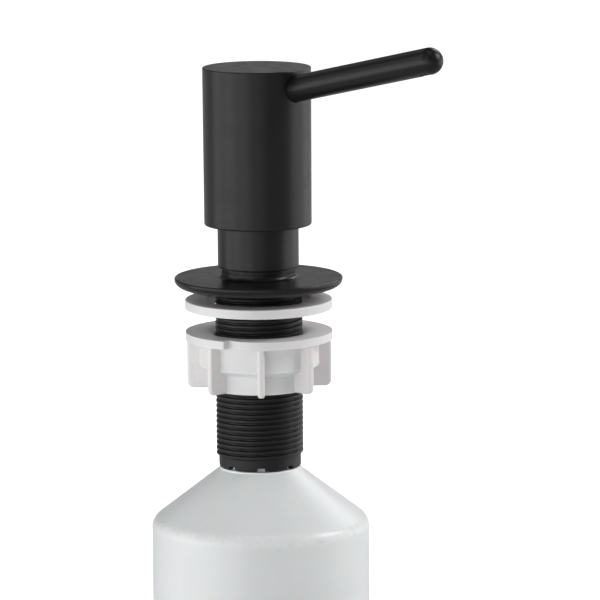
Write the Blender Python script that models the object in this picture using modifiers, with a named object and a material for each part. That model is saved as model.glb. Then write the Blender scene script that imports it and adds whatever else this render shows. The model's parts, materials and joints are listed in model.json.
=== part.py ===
"""Deck-mounted soap dispenser: a press-down pump head with a long spout, a threaded shank
with its clamp washer and wing nut, and a screw-on bottle.

Units are metres and +Z is up. The origin is the centre of the bottle's base, on the pump's
axis, and the spout points along +X.
"""

from math import cos, degrees, pi, radians, sin, sqrt, tan

import bmesh
import bpy
from mathutils import Matrix, Vector

MM = 0.001

# Clearances
GAP = 0.3 * MM  # between pieces that touch or slide on each other
BALL_GAP = 0.15 * MM  # between a valve ball and its seat

# Bottle
BOTTLE_RADIUS = 35.0 * MM
BOTTLE_BODY_HEIGHT = 133.0 * MM  # base to the corner where body and shoulder would meet
BOTTLE_WALL = 1.4 * MM
BOTTLE_BASE_ROUND = 4.0 * MM
SHOULDER_RISE = radians(37.7)
SHOULDER_ROUND = 4.4 * MM
SHOULDER_TOP_RADIUS = 13.1 * MM
SHOULDER_STEP = 0.6 * MM  # plain ring on top of the cone, under the shank
FINISH_RADIUS = 10.3 * MM  # the bottle's neck, at the thread's root
FINISH_WALL = 1.6 * MM
FINISH_HEIGHT = 13.4 * MM
FINISH_THREAD_DEPTH = 0.8 * MM
FINISH_THREAD_PITCH = 3.0 * MM
FINISH_THREADS = 3

# Threaded shank
SHANK_LENGTH = 57.6 * MM
THREAD_RADIUS = 14.0 * MM
THREAD_DEPTH = 0.45 * MM
THREAD_PITCH = 1.7 * MM
THREAD_RELIEF = 0.8 * MM  # plain groove left under the flange
COLLAR_RADIUS = 13.2 * MM
COLLAR_HEIGHT = 3.7 * MM
NOTCH_COUNT = 8
NOTCH_WIDTH = 2.5 * MM
NOTCH_HEIGHT = 1.1 * MM
SHANK_BORE_RADIUS = 8.8 * MM
SPIGOT_RADIUS = 10.2 * MM
SPIGOT_RISE = 12.2 * MM  # above the flange's underside
BOTTLE_SEAL_THICKNESS = 1.4 * MM

# Flange
FLANGE_RADIUS = 27.0 * MM
FLANGE_THICKNESS = 3.4 * MM
FLANGE_EDGE_ROUND = 0.7 * MM  # upper edge of the rim
FLANGE_FOOT_RADIUS = 23.0 * MM  # flat of the underside, inside its curved edge
FLANGE_NECK_RADIUS = 11.75 * MM
FLANGE_NECK_HEIGHT = 3.1 * MM
FLANGE_NECK_FILLET = 0.9 * MM
DECK_SEAL_INNER = 16.2 * MM
DECK_SEAL_OUTER = 20.0 * MM
DECK_SEAL_THICKNESS = 1.0 * MM

# Clamp washer and wing nut
WASHER_RADIUS = 23.65 * MM
WASHER_HOLE_RADIUS = 16.5 * MM
WASHER_THICKNESS = 3.0 * MM
DECK_SPACE = 3.75 * MM  # flange underside to washer
NUT_SPACE = 7.4 * MM  # washer to nut
NUT_HEIGHT = 18.3 * MM
NUT_RIM_RADIUS = 23.6 * MM
NUT_RIM_THICKNESS = 2.7 * MM
NUT_UPPER_RADIUS = 19.3 * MM
NUT_UPPER_HEIGHT = 10.8 * MM  # nut top to the step between the two body diameters
NUT_LOWER_RADIUS = 16.5 * MM
NUT_STEP = 1.6 * MM
NUT_LEAD_IN = 2.3 * MM
FIN_COUNT = 8
FIN_RADIUS = 23.2 * MM
FIN_THICKNESS = 2.2 * MM
FIN_CORNER = 1.2 * MM

# Pump body
SLEEVE_RADIUS = 13.0 * MM
SLEEVE_LENGTH = 24.4 * MM
SLEEVE_WALL = 2.0 * MM
SLEEVE_CHAMFER = 0.4 * MM
SLEEVE_WEB = 2.0 * MM
HOUSING_RADIUS = 7.4 * MM
HOUSING_WALL = 1.1 * MM
HOUSING_RIM_RADIUS = 10.6 * MM
HOUSING_RIM_THICKNESS = 2.0 * MM
HOUSING_FLOOR = 3.0 * MM
DIP_SOCKET_WALL = 1.3 * MM
DIP_SOCKET_DEPTH = 6.5 * MM
BUSH_COLLAR_RADIUS = 6.8 * MM
BUSH_COLLAR_HEIGHT = 7.4 * MM
BUSH_DEPTH = 9.3 * MM
DIP_TUBE_RADIUS = 3.0 * MM
DIP_TUBE_WALL = 1.0 * MM
DIP_TUBE_CLEARANCE = 8.0 * MM  # above the bottle's base

# Moving plunger, valves and spring
STROKE = 12.0 * MM
STEM_RADIUS = 3.3 * MM
STEM_BORE_RADIUS = 1.6 * MM
STEM_SHOULDER_CLEARANCE = 1.5 * MM  # shoulder to the housing's bore
STEM_SHOULDER_HEIGHT = 2.4 * MM
STEM_SOCKET_DEPTH = 10.7 * MM  # stem inside the head insert
PISTON_HEIGHT = 8.0 * MM
PISTON_LIP = 0.7 * MM
INLET_SEAT_RADIUS = 1.8 * MM
INLET_BALL_RADIUS = 2.4 * MM
CAGE_HEIGHT = 6.7 * MM
CAGE_TOP = 1.4 * MM
CAGE_HOLE_RADIUS = 1.7 * MM
CAGE_WALL = 1.2 * MM
OUTLET_BALL_RADIUS = 2.1 * MM
OUTLET_CHAMBER_HEIGHT = 5.1 * MM
OUTLET_PASSAGE_RADIUS = 1.5 * MM
SPRING_WIRE_RADIUS = 0.4 * MM
SPRING_CLEARANCE = 1.0 * MM  # wire to the housing's bore
SPRING_TURNS = 6.5
SPRING_PRESSED = 7.4 * MM  # its length at the end of the stroke
SPRING_POINTS_PER_TURN = 12

# Head and spout
HEAD_RADIUS = 17.35 * MM
HEAD_DRAFT = 0.15 * MM  # the radius shrinks by this from top to bottom
HEAD_HEIGHT = 50.5 * MM
HEAD_WALL = 2.6 * MM
HEAD_TOP_WALL = 2.0 * MM
HEAD_TOP_CHAMFER = 0.3 * MM
HEAD_BOTTOM_ROUND = 0.5 * MM
SLEEVE_SHOWN = 13.5 * MM  # sleeve's lower edge to the head's lower edge
INSERT_DEPTH = 19.0 * MM
INSERT_BOSS_RADIUS = 5.5 * MM
INSERT_BOSS_DEPTH = 8.0 * MM
SPOUT_RADIUS = 4.25 * MM
SPOUT_WALL = 0.8 * MM
SPOUT_REACH = 77.4 * MM  # pump axis to the spout's tip
SPOUT_RISE = radians(12.8)
SPOUT_BELOW_TOP = 5.65 * MM  # where the spout's axis meets the head's side
SPOUT_FIT = 0.2 * MM
SPOUT_SOCKET = 8.0 * MM  # length of spout inside the head
LINER_RADIUS = 2.4 * MM
LINER_WALL = 0.7 * MM
NOZZLE_RADIUS = 2.1 * MM
NOZZLE_BORE_RADIUS = 1.3 * MM
NOZZLE_PROUD = 0.5 * MM
NOZZLE_PLUG_LENGTH = 7.0 * MM
NOZZLE_SOCKET = 2.5 * MM

# Facets around each turned piece
FACETS_LARGE = 40
FACETS_MEDIUM = 28
FACETS_THREAD = 24
FACETS_SMALL = 20

# Heights, worked out from the base up
CONE_TOP = BOTTLE_BODY_HEIGHT + (BOTTLE_RADIUS - SHOULDER_TOP_RADIUS) * tan(SHOULDER_RISE)
SHOULDER_TOP = CONE_TOP + SHOULDER_STEP
SHANK_BOTTOM = SHOULDER_TOP + GAP
FLANGE_BOTTOM = SHANK_BOTTOM + SHANK_LENGTH + GAP
FLANGE_TOP = FLANGE_BOTTOM + FLANGE_THICKNESS
SLEEVE_BOTTOM = FLANGE_TOP + FLANGE_NECK_HEIGHT + GAP
SPIGOT_TOP = FLANGE_BOTTOM + SPIGOT_RISE
RIM_TOP = SPIGOT_TOP + GAP + HOUSING_RIM_THICKNESS
WASHER_BOTTOM = FLANGE_BOTTOM - DECK_SPACE - WASHER_THICKNESS
NUT_BOTTOM = WASHER_BOTTOM - NUT_SPACE - NUT_HEIGHT
BUSH_BOTTOM = RIM_TOP - BUSH_DEPTH
BUSH_TOP = RIM_TOP + GAP + BUSH_COLLAR_HEIGHT
PISTON_TOP = BUSH_BOTTOM - 2 * GAP - STEM_SHOULDER_HEIGHT
PISTON_BOTTOM = PISTON_TOP - PISTON_HEIGHT
SPRING_TOP = PISTON_BOTTOM - GAP
SPRING_BOTTOM = SPRING_TOP - STROKE - SPRING_PRESSED
CAGE_BOTTOM = SPRING_BOTTOM - GAP - CAGE_HEIGHT
CHAMBER_FLOOR = CAGE_BOTTOM - GAP
HEAD_BOTTOM = SLEEVE_BOTTOM + SLEEVE_SHOWN
HEAD_TOP = HEAD_BOTTOM + HEAD_HEIGHT
INSERT_TOP = HEAD_TOP - HEAD_TOP_WALL - GAP
INSERT_BOTTOM = INSERT_TOP - INSERT_DEPTH
BOSS_BOTTOM = INSERT_BOTTOM - INSERT_BOSS_DEPTH
STEM_TOP = BOSS_BOTTOM + STEM_SOCKET_DEPTH

# Radii that follow from a neighbour
HOUSING_BORE_RADIUS = HOUSING_RADIUS - HOUSING_WALL
SPRING_RADIUS = HOUSING_BORE_RADIUS - SPRING_CLEARANCE - SPRING_WIRE_RADIUS
STEM_SHOULDER_RADIUS = HOUSING_BORE_RADIUS - STEM_SHOULDER_CLEARANCE
STEM_HOLE_RADIUS = STEM_RADIUS + GAP
FINISH_CREST_RADIUS = FINISH_RADIUS + FINISH_THREAD_DEPTH
FINISH_BORE_RADIUS = FINISH_RADIUS - FINISH_WALL
FINISH_SOCKET_RADIUS = FINISH_CREST_RADIUS + GAP
SEAL_BOTTOM = SHOULDER_TOP + FINISH_HEIGHT + GAP
SHANK_STEP = SEAL_BOTTOM + BOTTLE_SEAL_THICKNESS + GAP

# The spout's axis: it meets the head's side at SPOUT_BELOW_TOP and rises outwards
SPOUT_AXIS = Vector((cos(SPOUT_RISE), 0.0, sin(SPOUT_RISE)))
SPOUT_ENTRY = Vector((HEAD_RADIUS, 0.0, HEAD_TOP - SPOUT_BELOW_TOP))
SPOUT_TURN = pi / 2 - SPOUT_RISE
SPOUT_TO_AXIS = HEAD_RADIUS / cos(SPOUT_RISE)  # from the head's side back to the pump's axis
SPOUT_LENGTH = (SPOUT_REACH - SPOUT_RADIUS - HEAD_RADIUS) / cos(SPOUT_RISE) + SPOUT_RADIUS


def clear_scene():
    for thing in list(bpy.data.objects):
        bpy.data.objects.remove(thing, do_unlink=True)


def new_collection(name):
    made = bpy.data.collections.new(name)
    bpy.context.scene.collection.children.link(made)
    return made


clear_scene()
PARTS = new_collection("soap_pump_dispenser")
CUTTERS = new_collection("cutters")


def material(name, colour, roughness, metallic=0.0):
    made = bpy.data.materials.new(name)
    made.use_nodes = True
    shader = made.node_tree.nodes["Principled BSDF"]
    shader.inputs["Base Color"].default_value = (*colour, 1.0)
    shader.inputs["Roughness"].default_value = roughness
    shader.inputs["Metallic"].default_value = metallic
    return made


def empty(name, height, parent=None):
    """An empty on the pump's axis at a height above the base, for a joint's moving side."""
    made = bpy.data.objects.new(name, None)
    made.empty_display_size = 10 * MM
    made.parent = parent
    made.location = (0.0, 0.0, height - (world_height(parent) if parent else 0.0))
    PARTS.objects.link(made)
    return made


def world_height(thing):
    height = 0.0
    while thing:
        height += thing.location.z
        thing = thing.parent
    return height


def place(thing, parent, position, turn=0.0):
    """Puts a piece at a world position under its joint's empty, tilted about Y by turn."""
    thing.parent = parent
    below = Vector((0.0, 0.0, world_height(parent) if parent else 0.0))
    thing.location = Vector(position) - below
    thing.rotation_euler = (0.0, turn, 0.0)


def arc(centre_r, centre_z, radius, start, end, steps=3):
    """Points of a round in a profile, by angle from the outward direction."""
    angles = (radians(start + (end - start) * i / steps) for i in range(steps + 1))
    return [(centre_r + radius * cos(a), centre_z + radius * sin(a)) for a in angles]


def turned_mesh(name, profile, facets, closed=True):
    """A Screw of a profile given as (radius, height), outer side first and from the top down."""
    outline = bpy.data.meshes.new(name)
    count = len(profile)
    edges = [(i, i + 1) for i in range(count - 1)]
    if closed:
        edges.append((count - 1, 0))
    outline.from_pydata([(r, 0.0, z) for r, z in profile], edges, [])
    holder = bpy.data.objects.new(name + "_outline", outline)
    CUTTERS.objects.link(holder)
    screw = holder.modifiers.new("turn", "SCREW")
    screw.steps = facets
    screw.render_steps = facets
    screw.use_merge_vertices = True
    screw.merge_threshold = 0.00001
    graph = bpy.context.evaluated_depsgraph_get()
    mesh = bpy.data.meshes.new_from_object(holder.evaluated_get(graph))
    mesh.name = name
    bpy.data.objects.remove(holder)
    mesh.shade_smooth()
    mesh.set_sharp_from_angle(angle=radians(32))
    return mesh


def piece(name, mesh, finish, parent, position=(0.0, 0.0, 0.0), turn=0.0):
    made = bpy.data.objects.new(name, mesh)
    mesh.materials.clear()
    mesh.materials.append(finish)
    PARTS.objects.link(made)
    place(made, parent, position, turn)
    return made


def turned(name, profile, facets, finish, parent, height=0.0, closed=True):
    mesh = turned_mesh(name, profile, facets, closed)
    return piece(name, mesh, finish, parent, (0.0, 0.0, height))


def cutter(name, mesh, position=(0.0, 0.0, 0.0), turn=0.0, spin=0.0):
    made = bpy.data.objects.new(name, mesh)
    made.location = position
    made.rotation_euler = (0.0, turn, spin)
    made.hide_render = True
    made.display_type = "WIRE"
    CUTTERS.objects.link(made)
    return made


def rod_mesh(name, radius, length, facets=FACETS_SMALL):
    """A cylinder along +Z from the origin."""
    made = bmesh.new()
    bmesh.ops.create_cone(
        made,
        cap_ends=True,
        segments=facets,
        radius1=radius,
        radius2=radius,
        depth=length,
        matrix=Matrix.Translation((0.0, 0.0, length / 2)),
    )
    mesh = bpy.data.meshes.new(name)
    made.to_mesh(mesh)
    made.free()
    return mesh


def box_mesh(name, low, high):
    made = bmesh.new()
    size = [b - a for a, b in zip(low, high)]
    middle = [(a + b) / 2 for a, b in zip(low, high)]
    scale = Matrix.Diagonal((*size, 1.0))
    bmesh.ops.create_cube(made, size=1.0, matrix=Matrix.Translation(middle) @ scale)
    mesh = bpy.data.meshes.new(name)
    made.to_mesh(mesh)
    made.free()
    return mesh


def boolean(target, other, operation):
    step = target.modifiers.new(other.name, "BOOLEAN")
    step.operation = operation
    step.solver = "EXACT"
    step.object = other


def annulus(inner, outer, low, high):
    """The closed profile of a plain ring."""
    return [(outer, high), (outer, low), (inner, low), (inner, high)]


def ridges(top, bottom, root, depth, pitch):
    """Thread ridges as turned rings, from the top down."""
    count = int((top - bottom) / pitch + 1e-6)
    first = top - ((top - bottom) - count * pitch) / 2
    points = []
    for i in range(count):
        points.append((root, first - i * pitch))
        points.append((root + depth, first - (i + 0.5) * pitch))
    points.append((root, first - count * pitch))
    return points


def shoulder_points(radius, corner_height, round_radius, top_radius, top_height):
    """The bottle's shoulder from its top down: a cone, rounded into the body."""
    turn = pi / 2 - SHOULDER_RISE
    tangent = round_radius * tan(turn / 2)
    centre_r = radius - round_radius
    centre_z = corner_height - tangent
    start = 90.0 - degrees(SHOULDER_RISE)
    return [(top_radius, top_height)] + arc(centre_r, centre_z, round_radius, start, 0.0)


# Materials
BLACK_COAT = material("black_coat", (0.028, 0.028, 0.030), 0.42, 0.0)
BLACK_PLASTIC = material("black_plastic", (0.020, 0.020, 0.021), 0.50)
WHITE_PLASTIC = material("white_plastic", (0.82, 0.82, 0.82), 0.45)
BOTTLE_PLASTIC = material("bottle_plastic", (0.86, 0.87, 0.88), 0.35)
VALVE_PLASTIC = material("valve_plastic", (0.75, 0.77, 0.78), 0.40)
SEAL_RUBBER = material("seal_rubber", (0.03, 0.03, 0.03), 0.80)
STEEL = material("steel", (0.62, 0.62, 0.64), 0.25, 1.0)
TUBE_PLASTIC = material("tube_plastic", (0.88, 0.89, 0.90), 0.35)

# One empty for each joint, on its axis
WASHER_TRAVEL = empty("washer_travel", WASHER_BOTTOM)
NUT_TURN = empty("nut_turn", NUT_BOTTOM, WASHER_TRAVEL)
BOTTLE_DROP = empty("bottle_drop", SEAL_BOTTOM)
BOTTLE_TURN = empty("bottle_turn", 0.0, BOTTLE_DROP)
PUMP_LIFT = empty("pump_lift", SLEEVE_BOTTOM)
PUMP_PRESS = empty("pump_press", STEM_TOP, PUMP_LIFT)
HEAD_SWIVEL = empty("head_swivel", HEAD_BOTTOM, PUMP_PRESS)
INLET_LIFT = empty("inlet_ball_lift", CHAMBER_FLOOR, PUMP_LIFT)
OUTLET_LIFT = empty("outlet_ball_lift", STEM_TOP, PUMP_PRESS)


def make_bottle():
    wall = BOTTLE_WALL
    base = BOTTLE_BASE_ROUND
    top = SHOULDER_TOP
    finish_top = top + FINISH_HEIGHT
    thread_low = top + (FINISH_HEIGHT - FINISH_THREADS * FINISH_THREAD_PITCH) / 2
    thread_high = thread_low + FINISH_THREADS * FINISH_THREAD_PITCH
    outer = [(FINISH_RADIUS, finish_top)]
    outer += ridges(
        thread_high, thread_low, FINISH_RADIUS, FINISH_THREAD_DEPTH, FINISH_THREAD_PITCH
    )
    outer += [(FINISH_RADIUS, top), (SHOULDER_TOP_RADIUS, top)]
    outer += shoulder_points(
        BOTTLE_RADIUS, BOTTLE_BODY_HEIGHT, SHOULDER_ROUND, SHOULDER_TOP_RADIUS, CONE_TOP
    )
    outer += arc(BOTTLE_RADIUS - base, base, base, 0.0, -90.0)
    outer += [(0.0, 0.0)]
    # the inner wall follows the outer one at a wall's distance
    slope_shift = wall / cos(SHOULDER_RISE) - wall * tan(SHOULDER_RISE)
    inner = shoulder_points(
        BOTTLE_RADIUS - wall,
        BOTTLE_BODY_HEIGHT - slope_shift,
        SHOULDER_ROUND - wall,
        FINISH_BORE_RADIUS,
        BOTTLE_BODY_HEIGHT
        - slope_shift
        + (BOTTLE_RADIUS - wall - FINISH_BORE_RADIUS) * tan(SHOULDER_RISE),
    )
    inner = [(0.0, wall)] + arc(
        BOTTLE_RADIUS - base, base, base - wall, -90.0, 0.0
    ) + inner[::-1]
    inner += [(FINISH_BORE_RADIUS, finish_top)]
    turned("bottle", outer_to_loop(outer, inner), FACETS_LARGE, BOTTLE_PLASTIC,
           BOTTLE_TURN, closed=False)


def outer_to_loop(outer, inner):
    """Joins an outer side that ends on the axis and an inner side that starts on it."""
    return inner[-1:] + outer + inner[:-1] + inner[-1:]


def make_bottle_seal():
    turned(
        "bottle_seal",
        annulus(FINISH_BORE_RADIUS + GAP, FINISH_CREST_RADIUS - GAP, 0.0, BOTTLE_SEAL_THICKNESS),
        FACETS_MEDIUM,
        SEAL_RUBBER,
        BOTTLE_DROP,
        SEAL_BOTTOM,
    )


def make_shank():
    top = FLANGE_BOTTOM - GAP
    root = THREAD_RADIUS - THREAD_DEPTH
    collar_top = SHANK_BOTTOM + COLLAR_HEIGHT
    outer = [(SPIGOT_RADIUS, SPIGOT_TOP), (SPIGOT_RADIUS, top), (root, top)]
    outer += ridges(top - THREAD_RELIEF, collar_top, root, THREAD_DEPTH, THREAD_PITCH)
    outer += [(COLLAR_RADIUS, collar_top - GAP), (COLLAR_RADIUS, SHANK_BOTTOM)]
    inner = [
        (FINISH_SOCKET_RADIUS, SHANK_BOTTOM),
        (FINISH_SOCKET_RADIUS, SHANK_STEP),
        (SHANK_BORE_RADIUS, SHANK_STEP),
        (SHANK_BORE_RADIUS, SPIGOT_TOP),
    ]
    shank = turned("threaded_shank", outer + inner, FACETS_THREAD, BLACK_PLASTIC, None)
    for i in range(NOTCH_COUNT // 2):
        slot = box_mesh(
            f"notch_{i}",
            (-2 * COLLAR_RADIUS, -NOTCH_WIDTH / 2, -NOTCH_HEIGHT),
            (2 * COLLAR_RADIUS, NOTCH_WIDTH / 2, NOTCH_HEIGHT),
        )
        spin = 2 * pi * i / NOTCH_COUNT
        boolean(shank, cutter(f"notch_{i}", slot, (0, 0, SHANK_BOTTOM), spin=spin), "DIFFERENCE")


def make_flange():
    low = FLANGE_BOTTOM
    edge = FLANGE_EDGE_ROUND
    side = FLANGE_TOP - edge
    bore = SPIGOT_RADIUS + GAP
    neck_top = FLANGE_TOP + FLANGE_NECK_HEIGHT
    groove_top = low + DECK_SEAL_THICKNESS + GAP
    fillet = FLANGE_NECK_FILLET
    profile = [(FLANGE_NECK_RADIUS, neck_top)]
    profile += arc(
        FLANGE_NECK_RADIUS + fillet, FLANGE_TOP + fillet, fillet, 180.0, 270.0, 3
    )
    profile += arc(FLANGE_RADIUS - edge, side, edge, 90.0, 0.0, 3)
    # below its edge the rim curves in to the foot as a quarter of an ellipse
    for turn in (22.5, 45.0, 67.5, 90.0):
        reach = (FLANGE_RADIUS - FLANGE_FOOT_RADIUS) * cos(radians(turn))
        profile.append((FLANGE_FOOT_RADIUS + reach, side - (side - low) * sin(radians(turn))))
    profile += [
        (DECK_SEAL_OUTER + GAP, low),
        (DECK_SEAL_OUTER + GAP, groove_top),
        (DECK_SEAL_INNER - GAP, groove_top),
        (DECK_SEAL_INNER - GAP, low),
        (bore, low),
        (bore, neck_top),
    ]
    turned("flange", profile, FACETS_LARGE, BLACK_COAT, None)
    turned(
        "deck_seal",
        annulus(DECK_SEAL_INNER, DECK_SEAL_OUTER, 0.0, DECK_SEAL_THICKNESS),
        FACETS_MEDIUM,
        SEAL_RUBBER,
        None,
        low,
    )


def make_washer():
    turned(
        "clamp_washer",
        annulus(WASHER_HOLE_RADIUS, WASHER_RADIUS, 0.0, WASHER_THICKNESS),
        FACETS_LARGE,
        WHITE_PLASTIC,
        WASHER_TRAVEL,
        WASHER_BOTTOM,
    )


def fin_mesh(name):
    """One fin along +X with its outer lower corner cut off, from inside the nut's wall."""
    inner = (THREAD_RADIUS + NUT_LOWER_RADIUS) / 2 + GAP
    top = NUT_HEIGHT - NUT_RIM_THICKNESS / 2
    outline = [
        (inner, 0.0),
        (FIN_RADIUS - FIN_CORNER, 0.0),
        (FIN_RADIUS, FIN_CORNER),
        (FIN_RADIUS, top),
        (inner, top),
    ]
    made = bmesh.new()
    corners = [made.verts.new((x, -FIN_THICKNESS / 2, z)) for x, z in outline]
    face = made.faces.new(corners)
    grown = bmesh.ops.extrude_face_region(made, geom=[face])
    moved = [v for v in grown["geom"] if isinstance(v, bmesh.types.BMVert)]
    bmesh.ops.translate(made, verts=moved, vec=(0.0, FIN_THICKNESS, 0.0))
    bmesh.ops.recalc_face_normals(made, faces=made.faces)
    mesh = bpy.data.meshes.new(name)
    made.to_mesh(mesh)
    made.free()
    return mesh


def make_nut():
    bore = THREAD_RADIUS + GAP
    top = NUT_HEIGHT
    step = top - NUT_UPPER_HEIGHT
    profile = [
        (NUT_RIM_RADIUS, top),
        (NUT_RIM_RADIUS, top - NUT_RIM_THICKNESS),
        (NUT_UPPER_RADIUS, top - NUT_RIM_THICKNESS),
        (NUT_UPPER_RADIUS, step),
        (NUT_LOWER_RADIUS, step - NUT_STEP),
        (NUT_LOWER_RADIUS, 0.0),
        (bore, 0.0),
        (bore, top - NUT_LEAD_IN),
        (bore + NUT_LEAD_IN, top),
    ]
    nut = turned("wing_nut", profile, FACETS_LARGE, WHITE_PLASTIC, NUT_TURN, NUT_BOTTOM)
    for i in range(FIN_COUNT):
        spin = 2 * pi * i / FIN_COUNT
        fin = cutter(f"fin_{i}", fin_mesh(f"fin_{i}"), (0, 0, NUT_BOTTOM), spin=spin)
        boolean(nut, fin, "UNION")


def make_sleeve():
    length = SLEEVE_LENGTH
    radius = SLEEVE_RADIUS
    inner = radius - SLEEVE_WALL
    web_low = RIM_TOP + GAP - SLEEVE_BOTTOM
    web_high = web_low + SLEEVE_WEB
    web_hole = BUSH_COLLAR_RADIUS + GAP
    edge = SLEEVE_CHAMFER
    profile = [
        (radius, length),
        (radius, edge),
        (radius - edge, 0.0),
        (inner, 0.0),
        (inner, web_low),
        (web_hole, web_low),
        (web_hole, web_high),
        (inner, web_high),
        (inner, length),
    ]
    turned("sleeve", profile, FACETS_LARGE, BLACK_COAT, PUMP_LIFT, SLEEVE_BOTTOM)


def make_housing():
    floor = CHAMBER_FLOOR
    socket = DIP_TUBE_RADIUS + GAP
    socket_outer = socket + DIP_SOCKET_WALL
    socket_top = floor - HOUSING_FLOOR
    socket_low = socket_top - DIP_SOCKET_DEPTH
    taper = HOUSING_RADIUS - socket_outer
    profile = [
        (HOUSING_RIM_RADIUS, RIM_TOP),
        (HOUSING_RIM_RADIUS, RIM_TOP - HOUSING_RIM_THICKNESS),
        (HOUSING_RADIUS, RIM_TOP - HOUSING_RIM_THICKNESS),
        (HOUSING_RADIUS, floor - HOUSING_FLOOR + taper),
        (socket_outer, floor - HOUSING_FLOOR),
        (socket_outer, socket_low),
        (socket, socket_low),
        (socket, socket_top),
        (INLET_SEAT_RADIUS, socket_top),
        (INLET_SEAT_RADIUS, floor),
        (HOUSING_BORE_RADIUS, floor),
        (HOUSING_BORE_RADIUS, RIM_TOP),
    ]
    turned("pump_housing", profile, FACETS_MEDIUM, VALVE_PLASTIC, PUMP_LIFT)
    tube_top = socket_top - GAP
    turned(
        "dip_tube",
        annulus(DIP_TUBE_RADIUS - DIP_TUBE_WALL, DIP_TUBE_RADIUS, DIP_TUBE_CLEARANCE, tube_top),
        FACETS_SMALL,
        TUBE_PLASTIC,
        PUMP_LIFT,
    )


def make_bush():
    lower = HOUSING_BORE_RADIUS - GAP
    profile = [
        (BUSH_COLLAR_RADIUS, BUSH_TOP),
        (BUSH_COLLAR_RADIUS, RIM_TOP + GAP),
        (lower, RIM_TOP + GAP),
        (lower, BUSH_BOTTOM),
        (STEM_HOLE_RADIUS, BUSH_BOTTOM),
        (STEM_HOLE_RADIUS, BUSH_TOP),
    ]
    turned("guide_bush", profile, FACETS_SMALL, VALVE_PLASTIC, PUMP_LIFT)


def make_stem():
    shoulder_low = PISTON_TOP + GAP
    shoulder_high = shoulder_low + STEM_SHOULDER_HEIGHT
    profile = [
        (STEM_RADIUS, STEM_TOP),
        (STEM_RADIUS, shoulder_high),
        (STEM_SHOULDER_RADIUS, shoulder_high),
        (STEM_SHOULDER_RADIUS, shoulder_low),
        (STEM_RADIUS, shoulder_low),
        (STEM_RADIUS, PISTON_BOTTOM),
        (STEM_BORE_RADIUS, PISTON_BOTTOM),
        (STEM_BORE_RADIUS, STEM_TOP),
    ]
    turned("pump_stem", profile, FACETS_SMALL, VALVE_PLASTIC, PUMP_PRESS)


def make_piston():
    outer = HOUSING_BORE_RADIUS - GAP
    waist = outer - PISTON_LIP
    height = PISTON_HEIGHT
    lip = PISTON_LIP
    profile = [
        (outer, height),
        (outer, height - lip),
        (waist, height - 2 * lip),
        (waist, 2 * lip),
        (outer, lip),
        (outer, 0.0),
        (STEM_HOLE_RADIUS, 0.0),
        (STEM_HOLE_RADIUS, height),
    ]
    turned("piston", profile, FACETS_SMALL, TUBE_PLASTIC, PUMP_PRESS, PISTON_BOTTOM)


def make_spring():
    """A coil as a poly curve, with its end turns closed up flat."""
    low = SPRING_BOTTOM + SPRING_WIRE_RADIUS
    high = SPRING_TOP - SPRING_WIRE_RADIUS
    count = int(SPRING_TURNS * SPRING_POINTS_PER_TURN)
    closed_turns = 0.75
    points = []
    for i in range(count + 1):
        turns = SPRING_TURNS * i / count
        share = (turns - closed_turns) / (SPRING_TURNS - 2 * closed_turns)
        share = min(max(share, 0.0), 1.0)
        end_rise = 2 * SPRING_WIRE_RADIUS + GAP
        height = low + end_rise + (high - low - 2 * end_rise) * share
        height -= end_rise * max(0.0, 1.0 - turns / closed_turns)
        height += end_rise * max(0.0, 1.0 - (SPRING_TURNS - turns) / closed_turns)
        angle = 2 * pi * turns
        points.append((SPRING_RADIUS * cos(angle), SPRING_RADIUS * sin(angle), height))
    curve = bpy.data.curves.new("return_spring", "CURVE")
    curve.dimensions = "3D"
    curve.bevel_depth = SPRING_WIRE_RADIUS
    curve.bevel_resolution = 2
    curve.use_fill_caps = True
    spline = curve.splines.new("POLY")
    spline.points.add(len(points) - 1)
    for point, position in zip(spline.points, points):
        point.co = (*position, 1.0)
    curve.materials.append(STEEL)
    made = bpy.data.objects.new("return_spring", curve)
    PARTS.objects.link(made)
    place(made, PUMP_LIFT, (0.0, 0.0, 0.0))


def ball_mesh(name, radius):
    made = bmesh.new()
    bmesh.ops.create_uvsphere(made, u_segments=16, v_segments=10, radius=radius)
    mesh = bpy.data.meshes.new(name)
    made.to_mesh(mesh)
    made.free()
    mesh.shade_smooth()
    return mesh


def make_inlet_valve():
    outer = HOUSING_BORE_RADIUS - GAP
    height = CAGE_HEIGHT
    profile = [
        (outer, height),
        (outer, 0.0),
        (outer - CAGE_WALL, 0.0),
        (outer - CAGE_WALL, height - CAGE_TOP),
        (CAGE_HOLE_RADIUS, height - CAGE_TOP),
        (CAGE_HOLE_RADIUS, height),
    ]
    turned("inlet_cage", profile, FACETS_SMALL, VALVE_PLASTIC, PUMP_LIFT, CAGE_BOTTOM)
    rise = sqrt(INLET_BALL_RADIUS**2 - INLET_SEAT_RADIUS**2)
    centre = CHAMBER_FLOOR + rise + BALL_GAP
    mesh = ball_mesh("inlet_ball", INLET_BALL_RADIUS)
    piece("inlet_ball", mesh, STEEL, INLET_LIFT, (0.0, 0.0, centre))


def make_outlet_ball():
    rise = sqrt(OUTLET_BALL_RADIUS**2 - STEM_BORE_RADIUS**2)
    centre = STEM_TOP + rise + BALL_GAP
    mesh = ball_mesh("outlet_ball", OUTLET_BALL_RADIUS)
    piece("outlet_ball", mesh, STEEL, OUTLET_LIFT, (0.0, 0.0, centre))


def along_spout(distance):
    """The point on the spout's axis at a distance outside the head's side."""
    return SPOUT_ENTRY + SPOUT_AXIS * distance


def spout_hole(name, radius, start, end):
    """A cutter along the spout's axis between two distances from the head's side."""
    mesh = rod_mesh(name, radius, end - start)
    return cutter(name, mesh, along_spout(start), SPOUT_TURN)


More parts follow.
